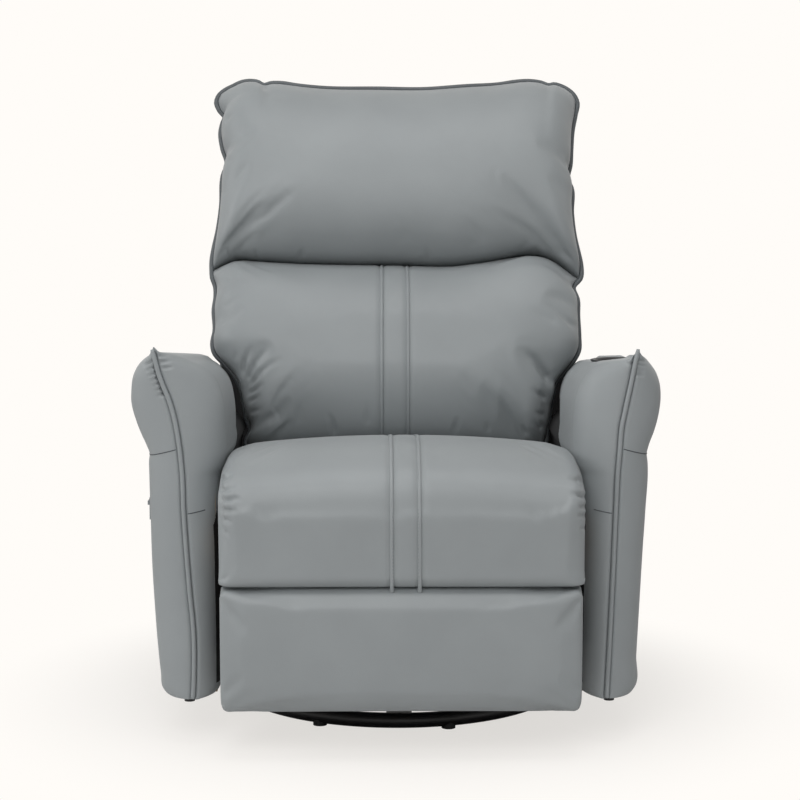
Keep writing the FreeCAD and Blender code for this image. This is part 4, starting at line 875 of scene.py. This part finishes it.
SEAT_RIDGES = (("left", -0.015, -0.012), ("right", 0.024, 0.029))
SEAT_RIDGE_CENTRE = np.array([-0.1, 0.33])
SEAT_RIDGE_FROM = 20
SEAT_RIDGE_TURN = 182
SEAT_RIDGE_LOW = 0.268
SEAT_RIDGE_REAR = (0.05, 0.42)
SEAT_RIDGE_STEP = 0.006
RAY_START = 0.8
ABOVE = np.array([0, -0.02, 0.02])
DOWN_BACK = Vector((0, 1, -1)).normalized()
FRONT_OUT = np.array([0, -1, 0.3])
for side_name, x_rear, x_front in SEAT_RIDGES:
    tree = surface_tree(seat)
    found = []
    for share in np.linspace(0, 1, 110):
        angle = math.radians(SEAT_RIDGE_FROM + SEAT_RIDGE_TURN * share)
        ray = np.array([0.0, math.cos(angle), math.sin(angle)])
        middle = np.array([x_rear + (x_front - x_rear) * share, *SEAT_RIDGE_CENTRE])
        found.append(hit(tree, middle + ray * RAY_START, -ray)[0])
    found = [p for p in found if p is not None and p[2] >= SEAT_RIDGE_LOW]
    found = [p for p in found if p[1] <= SEAT_RIDGE_REAR[0] or p[2] >= SEAT_RIDGE_REAR[1]]
    path = resample(np.array(found), SEAT_RIDGE_STEP)
    normals = [hit(tree, p + ABOVE, DOWN_BACK)[1] for p in path]
    out = np.array([FRONT_OUT if normal is None else normal for normal in normals])
    ridge("seat", side_name, seat, path, out, math.copysign(STITCH_ASIDE, x_rear), "chair")

# Arms: a pillow-topped section carried back, whose front draws in to a welt

ARM_UNDER = mm((275.2, 88), (280, 75), (292, 71.5), (320, 71.5), (346, 72))
ARM_OUTER = {
    -1: mm((358.5, 73.5), (363.7, 79), (367.5, 105), (371.2, 144), (375.5, 210), (378.6, 275), (380, 345),
        (381.2, 411), (381.2, 434), (380.2, 443), (384.5, 456), (391.5, 472), (400, 495), (407, 525),
        (406.8, 541), (402.5, 568), (392.5, 585.5), (380, 595.5)),
    1: mm((358, 73.5), (363.1, 79.5), (365.5, 130), (369.5, 216), (373.5, 300), (376.5, 353), (378.8, 431),
        (377.5, 443), (380, 454), (389, 480), (395, 505), (397.6, 532), (395.8, 552), (389.5, 570.5),
        (380, 584), (370, 594))}
ARM_TOP = {
    -1: mm((370.5, 600), (362, 601.2), (351, 600.8), (340.5, 598.5), (328.5, 594), (315, 588)),
    1: mm((360, 597), (354, 593), (346, 591.2), (336.5, 590.2), (328.5, 589.2), (315, 587.2))}
ARM_INNER = mm((304.5, 583.5), (295, 578), (286, 570.5), (278, 559), (271.5, 543), (267, 524), (264.8, 505),
    (264, 480), (264, 455), (264.5, 436), (267.5, 424), (273, 413), (275, 400), (275, 300), (275, 200))
ARM_WELT = {
    -1: mm((71, 314.5), (79, 313.8), (121, 311.8), (175, 312), (239.5, 317.3), (314.5, 322.5), (360, 325),
        (416, 326.6), (448, 329.2), (480, 333.4), (514, 340.4), (532.5, 346.2), (550.5, 353.4),
        (571.5, 360.6), (588, 364.8), (603, 369.1)),
    1: mm((71, 315), (166, 319), (272, 323), (359, 326), (415, 328), (455, 331), (485, 333), (517, 339),
        (556, 347), (587, 353), (603, 356.5))}
ARM_FRONT = -0.3545
ARM_REAR = 0.2215
ARM_FALL = 0.085
ARM_NOSE_OUT = 0.05
ARM_NOSE_IN = 0.058
ARM_HEEL = 0.018
TIP_RISE = 0.007
TIP_WIDTH = {
    -1: 0.0065,
    1: 0.0085}
ARM_TAPER = 0.0843
TAPER_FROM = 0.2545
TAPER_IN = 0.05
TAPER_UP = (0.425, 0.035)
FALL_UP = (0.44, 0.15)
TIP_UP = (0.57, 0.02)
HEEL_DRAW = 0.8
HEEL_HALF = (0.06, 0.25)
VALLEY = 0.0075
VALLEY_HALF = 0.0042
VALLEY_FADE = 0.03
SECTION_STEP = 0.0027
NOSE_DEEP = 0.062
BODY_FROM = 0.066
ARM_MIDDLE = (0.335, 0.33)
TIP_HEIGHT = 0.598
TIP_DEEP = 0.014
SEAM_SHADOW_RADIUS = 0.0008
SEAM_OFF = 0.006
SEAM_STEPS = 24
FLANK_STEPS = 60
BEFORE_ARM = -0.6
BESIDE_ARM = 0.5
ARM_WELT_RADIUS = 0.0035
ARM_WELT_ENDS = (0.073, 0.605)
ARM_WELT_STEPS = 120
ARM_WELT_SINK = 0.0012
ARM_WELT_TIP = 0.7
OUTER_SEAM = 0.4425
BACKWARDS = np.array([0.0, 1.0, 0.0])
# Where the arms' inner faces take black lining, which also paints the shade of the gap beside the seat and
# lumbar
SHADE_LINED_FROM = 0.028
SHADE_LINED_LOW = 0.09
SHADE_LINED_WITHIN = 0.3
SHADE_LINED_FACING = -0.3
SHADE_LINED_TOP = mm((-330, 330), (-290, 385), (-250, 412), (-85, 416), (-40, 452), (300, 452))
CUP = (0.352, -0.15)
CUP_HOLE = 0.0405
CUP_TOP = 0.573
CUP_BED = (0.049, 0.066)
BEZEL_LOW = (-0.292, 0.342)
BEZEL_HIGH = (-0.188, 0.37)
BEZEL_BED = 0.366
BEZEL_SIDE = -0.36
BEZEL_FADE = 0.006
CUP_SINK = 0.0024
ARM_UPPER = 0.5


def arm(side, name):
    """A closed section carried back from the welt, where it starts in a seam valley, to its round heel."""
    section = ARM_UNDER + ARM_OUTER[side] + ARM_TOP[side] + ARM_INNER
    loop = resample(section + section[:1], SECTION_STEP)[:-1]
    welt_line = ARM_WELT[side]
    length = ARM_REAR - ARM_FRONT
    depth = np.r_[NOSE_DEEP * np.linspace(0, 1, 44) ** 2.0, np.linspace(BODY_FROM, length - ARM_HEEL, 80),
                  length - ARM_HEEL * (1 - np.sin(np.linspace(0.15, 1, 8) * math.pi / 2))]
    line_x = through(welt_line, loop[:, 1])
    reach = np.where(loop[:, 0] > line_x, ARM_NOSE_OUT, ARM_NOSE_IN)
    tip_x = through(welt_line, np.array(TIP_HEIGHT))
    middle_x, middle_z = ARM_MIDDLE
    rings = []
    for deep in depth:
        t = np.clip(deep / reach, 0, 1)
        x = line_x + np.sqrt(1 - (1 - t) ** 2) * (loop[:, 0] - line_x)
        z = loop[:, 1]
        valley = VALLEY * fading(deep, VALLEY_FADE)
        y = deep + valley * np.exp(-((x - line_x) / VALLEY_HALF) ** 2)
        inward = rising(middle_x, x, TAPER_IN) * rising(z, *TAPER_UP)
        x = x + ARM_TAPER * inward * max(0.0, deep - TAPER_FROM)
        heel = rising(deep, length - ARM_HEEL, ARM_HEEL)
        draw = ARM_HEEL * HEEL_DRAW * (1 - math.sqrt(1 - heel**2))
        x = middle_x + (x - middle_x) * (1 - draw / HEEL_HALF[0])
        z = middle_z + (z - middle_z) * (1 - draw / HEEL_HALF[1])
        z = z - rising(z, *FALL_UP) * ARM_FALL * deep
        tip = np.exp(-((x - tip_x) / TIP_WIDTH[side]) ** 2 - (deep / TIP_DEEP) ** 2)
        z = z + TIP_RISE * tip * rising(z, *TIP_UP)
        rings.append(np.stack([side * x, ARM_FRONT + y, z], 1))
    faces = grid_faces(len(depth), len(loop), wrap=True)
    faces.append(end_caps(len(depth), len(loop))[1])
    piece = mesh_piece(name, np.concatenate(rings), faces, LEATHER)
    # Inner faces beside the seat and lumbar get black lining, partly real lining and partly painted shade
    # of that gap
    piece.data.materials.append(LINING_AND_PAINTED_SHADE)
    for face in piece.data.polygons:
        x, y, z = face.center
        shade_lined = SHADE_LINED_LOW < z < through(SHADE_LINED_TOP, np.array(y)) and y > ARM_FRONT + SHADE_LINED_FROM
        if shade_lined and side * x < SHADE_LINED_WITHIN and side * face.normal.x < SHADE_LINED_FACING:
            face.material_index = 1
    return piece


def seam_shadow_line(name, tree, starts, directions):
    """Painted seam shadow: a thin dark tube where rays meet a surface, standing in for the shade in a sewn
    seam.
    """
    found = [hit(tree, start, direction)[0] for start, direction in zip(starts, directions)]
    path = [place for place in found if place is not None]
    dress(tube(name, resample(path, 0.004), SEAM_SHADOW_RADIUS, SEAM_SHADOW, sides=6), "chair")


def front_seam(side, at, height, climb, off, end):
    """Points before the arm, from beside its welt at a height to the seam's end across the front."""
    share = np.linspace(0, 1, SEAM_STEPS)
    welt_x = through(ARM_WELT[side], np.array(at))
    x = welt_x + off + (end - welt_x - off) * share
    return np.stack([side * x, np.full(SEAM_STEPS, BEFORE_ARM), height + climb * share], 1)


def fold_row(count, start, end, step, end_step, depth, width):
    """Folds side by side: the first one's two ends in the picture, and the step to the next at each end."""
    return [([(start[0] + k * step[0], start[1] + k * step[1]),
              (end[0] + k * end_step[0], end[1] + k * end_step[1])], depth, width) for k in range(count)]


def from_cup(x, y):
    """Distance from the cup holder's axis."""
    return np.hypot(x - CUP[0], y - CUP[1])


def arm_seams(piece, side, name):
    """Welt down the front, painted seam shadows, gathers at the tip, and the bed of the cup holder or
    release bezel.
    """
    heights = np.linspace(*ARM_WELT_ENDS, ARM_WELT_STEPS)
    path = np.stack([side * through(ARM_WELT[side], heights),
                     np.full(ARM_WELT_STEPS, ARM_FRONT + ARM_WELT_SINK), heights], 1)
    size = ARM_WELT_RADIUS * np.clip(ARM_WELT_TIP + (heights[-1] - heights) / 0.02, ARM_WELT_TIP, 1)
    dress(tube(f"{name}_welt", path, size, LEATHER, sides=12), "chair")
    if side < 0:
        folds = (fold_row(7, (154, 361), (142.5, 366), (2, 5.2), (2.2, 5.2), 5.2, 1.9)
                 + fold_row(3, (158, 356), (170, 355), (2, 6), (2, 6), 2.6, 2.2))
    else:
        folds = (fold_row(4, (638, 359), (647, 362), (-0.8, 4.6), (-0.6, 4.6), 5, 1.9)
                 + fold_row(2, (634, 359), (625, 357), (-1, 5), (-1, 5), 2, 2.4))
    press_folds(piece, folds)
    tree = surface_tree(piece)
    front = front_seam(side, at=0.45, height=0.4545, climb=-0.011, off=SEAM_OFF, end=0.374)
    flank_y = np.linspace(ARM_FRONT + 0.05, ARM_REAR - 0.012, FLANK_STEPS)
    flank = [np.array([side * BESIDE_ARM, y, OUTER_SEAM]) for y in flank_y]
    seam_shadow_line(f"{name}_outer_seam_shadow", tree, list(front) + flank,
              [BACKWARDS] * SEAM_STEPS + [-side * ACROSS] * FLANK_STEPS)
    front = front_seam(side, at=0.357, height=0.357, climb=0.004, off=-SEAM_OFF, end=0.294)
    seam_shadow_line(f"{name}_inner_seam_shadow", tree, front, [BACKWARDS] * SEAM_STEPS)
    points = points_of(piece.data)
    if side < 0:
        inside = np.minimum(points[:, 1:] - BEZEL_LOW, BEZEL_HIGH - points[:, 1:]).min(1)
        bed = np.clip(0.5 + inside / BEZEL_FADE, 0, 1) * (points[:, 0] < BEZEL_SIDE)
        points[:, 0] += bed * np.clip(-BEZEL_BED - points[:, 0], 0, 1)
        set_points(piece, points)
        return
    away = from_cup(points[:, 0], points[:, 1])
    level = rising(CUP_BED[1], away, CUP_BED[1] - CUP_BED[0]) * (points[:, 2] > ARM_UPPER)
    level = level * level * (3 - 2 * level)
    points[:, 2] += level * np.minimum(0.0, CUP_TOP - CUP_SINK - points[:, 2])
    set_points(piece, points)
    work = bmesh.new()
    work.from_mesh(piece.data)
    middles = [(face, face.calc_center_median()) for face in work.faces]
    gone = [face for face, m in middles if m.z > ARM_UPPER and from_cup(m.x, m.y) < CUP_HOLE - 0.001]
    bmesh.ops.delete(work, geom=gone, context="FACES")
    for vertex in work.verts:
        if vertex.is_boundary and vertex.co.z > ARM_UPPER and vertex.co.y > ARM_FRONT + 0.05:
            stretch = CUP_HOLE / from_cup(vertex.co.x, vertex.co.y)
            vertex.co.x = CUP[0] + (vertex.co.x - CUP[0]) * stretch
            vertex.co.y = CUP[1] + (vertex.co.y - CUP[1]) * stretch
    work.to_mesh(piece.data)
    work.free()


for side, name in ((-1, "left"), (1, "right")):
    piece = arm(side, f"arm_cover_{name}")
    arm_seams(piece, side, f"arm_{name}")
    dress(piece, "chair", [f"arm_pad_{name}"])

# Cup holder: a turned tray with a rolled rim

CUP_SIDE = mm((0, -69.5), (30, -69.5), (35.5, -67), (37.5, -62), (37.8, -6), (39.5, -3.2), (43.5, -3),
    (45, -1.8), (44.7, -0.4), (42.5, 0.2), (38.5, -0.4), (36.2, -3), (35.5, -10), (35, -58), (32.5, -65.5),
    (27, -67.5), (0, -67.8))


def cup_holder():
    turns = 64
    angle = np.arange(turns) * 2 * math.pi / turns
    side = np.array(CUP_SIDE[1:-1])
    round_x, round_y = np.cos(angle), np.sin(angle)
    rings = [np.stack([CUP[0] + r * round_x, CUP[1] + r * round_y, np.full(turns, CUP_TOP + z)], 1)
             for r, z in side]
    points = np.concatenate(rings)
    faces = grid_faces(len(side), turns, wrap=True) + end_caps(len(side), turns)
    piece = mesh_piece("cup_holder_tray", points, faces, FINISHES["black_plastic"])
    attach(piece, "chair")
    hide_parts("cup_holder")


cup_holder()

# Rocker springs: coils that stretch between the swivel plate and the bars of the rocking seat

COIL_X = 0.12
COIL_RADIUS = 0.016
COIL_WIRE = 0.0022
COIL_TURNS = 5


def rocker_coils():
    low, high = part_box("rocker_springs")
    coil_y = high[1] - COIL_RADIUS - COIL_WIRE
    turn = np.linspace(0, 2 * math.pi * COIL_TURNS, 24 * COIL_TURNS)
    climb = np.linspace(low[2] + COIL_WIRE, high[2] - COIL_WIRE, len(turn))
    path = np.stack([COIL_RADIUS * np.cos(turn), COIL_RADIUS * np.sin(turn), climb], 1)
    one = tube("rocker_coil", path, COIL_WIRE, FINISHES["bright_steel"], sides=8)
    wire = points_of(one.data)
    wire_faces = [tuple(face.vertices) for face in one.data.polygons]
    bpy.data.objects.remove(one)
    points, faces = [], []
    for x in (-COIL_X, COIL_X):
        for y in (-coil_y, coil_y):
            faces += [tuple(v + len(points) * len(wire) for v in face) for face in wire_faces]
            points.append(wire + np.array([x, y, 0.0]))
    piece = mesh_piece("rocker_coils", np.concatenate(points), faces, FINISHES["bright_steel"])
    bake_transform(piece)
    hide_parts("rocker_springs")


rocker_coils()

# Studio: pale floor, white surroundings and soft lamps

BACKDROP = srgb(255, 252, 248)
WORLD_LIGHT = (1.0, 0.99, 0.98, 1.0)
WORLD_STRENGTH = 0.28
FLOOR_COLOUR = (0.9, 0.89, 0.88, 1.0)
FLOOR_SIZE = 30.0
SHADOW_SHARE = 0.3
SHADOW_NEAR = 0.35
SHADOW_FAR = 0.75


def studio_world():
    """Surroundings that are plain white to the eye and give soft light to everything else."""
    world = bpy.data.worlds.new("studio")
    world.use_nodes = True
    SCENE.world = world
    tree = world.node_tree
    path = add_node(tree, "ShaderNodeLightPath")
    shown = add_node(tree, "ShaderNodeBackground", Color=BACKDROP)
    lit = add_node(tree, "ShaderNodeBackground", Color=WORLD_LIGHT, Strength=WORLD_STRENGTH)
    seen = path.outputs["Is Camera Ray"]
    for ray in ("Is Glossy Ray", "Is Transmission Ray"):
        either = add_node(tree, "ShaderNodeMath", operation="MAXIMUM")
        tree.links.new(seen, either.inputs[0])
        tree.links.new(path.outputs[ray], either.inputs[1])
        seen = either.outputs["Value"]
    end_in_mix(tree, seen, lit.outputs["Background"], shown.outputs["Background"], "World Output")


def pale_floor():
    """A matt floor that glows like the surroundings and keeps the object's shadow."""
    finish = Finish("pale_floor", 0.9, specular=0.1)
    finish.shader.inputs["Base Color"].default_value = FLOOR_COLOUR
    glow = finish.node("ShaderNodeEmission", Color=BACKDROP)
    path = finish.node("ShaderNodeLightPath")
    away = finish.node("ShaderNodeVectorMath", operation="LENGTH")
    finish.link(finish.place, away.inputs[0])
    ends = {"From Min": SHADOW_NEAR, "From Max": SHADOW_FAR, "To Min": 1 - SHADOW_SHARE, "To Max": 1.0}
    fade = finish.node("ShaderNodeMapRange", interpolation_type="SMOOTHSTEP", **ends)
    finish.link(away.outputs["Value"], fade.inputs["Value"])
    share = finish.node("ShaderNodeMath", operation="MULTIPLY")
    finish.link(path.outputs["Is Camera Ray"], share.inputs[0])
    finish.link(fade.outputs["Result"], share.inputs[1])
    end_in_mix(finish.tree, share.outputs["Value"], finish.shader.outputs["BSDF"],
               glow.outputs["Emission"], "Material Output")
    mesh = bpy.data.meshes.new("floor")
    corners = [(x * FLOOR_SIZE, y * FLOOR_SIZE, 0) for x, y in ((-1, -1), (1, -1), (1, 1), (-1, 1))]
    mesh.from_pydata(corners, [], [(0, 1, 2, 3)])
    mesh.materials.append(finish.material)
    add_object("floor", mesh)


def lamp(name, place, target, size, power):
    """A round soft lamp turned to a target."""
    data = bpy.data.lights.new(name, "AREA")
    data.shape = "DISK"
    data.size = size
    data.energy = power
    made = add_object(name, data)
    made.location = place
    made.rotation_euler = (Vector(target) - Vector(place)).to_track_quat("-Z", "Y").to_euler()


studio_world()
pale_floor()
lamp("key", (-0.5, -2.7, 2.2), (0.0, 0.0, 0.5), 1.8, 33)
lamp("left", (-3.0, -0.6, 1.5), (0.0, 0.0, 0.5), 1.8, 20)
lamp("top", (0.0, -0.8, 3.3), (0.0, 0.0, 0.4), 1.6, 23)

SCENE.view_settings.view_transform = "Standard"
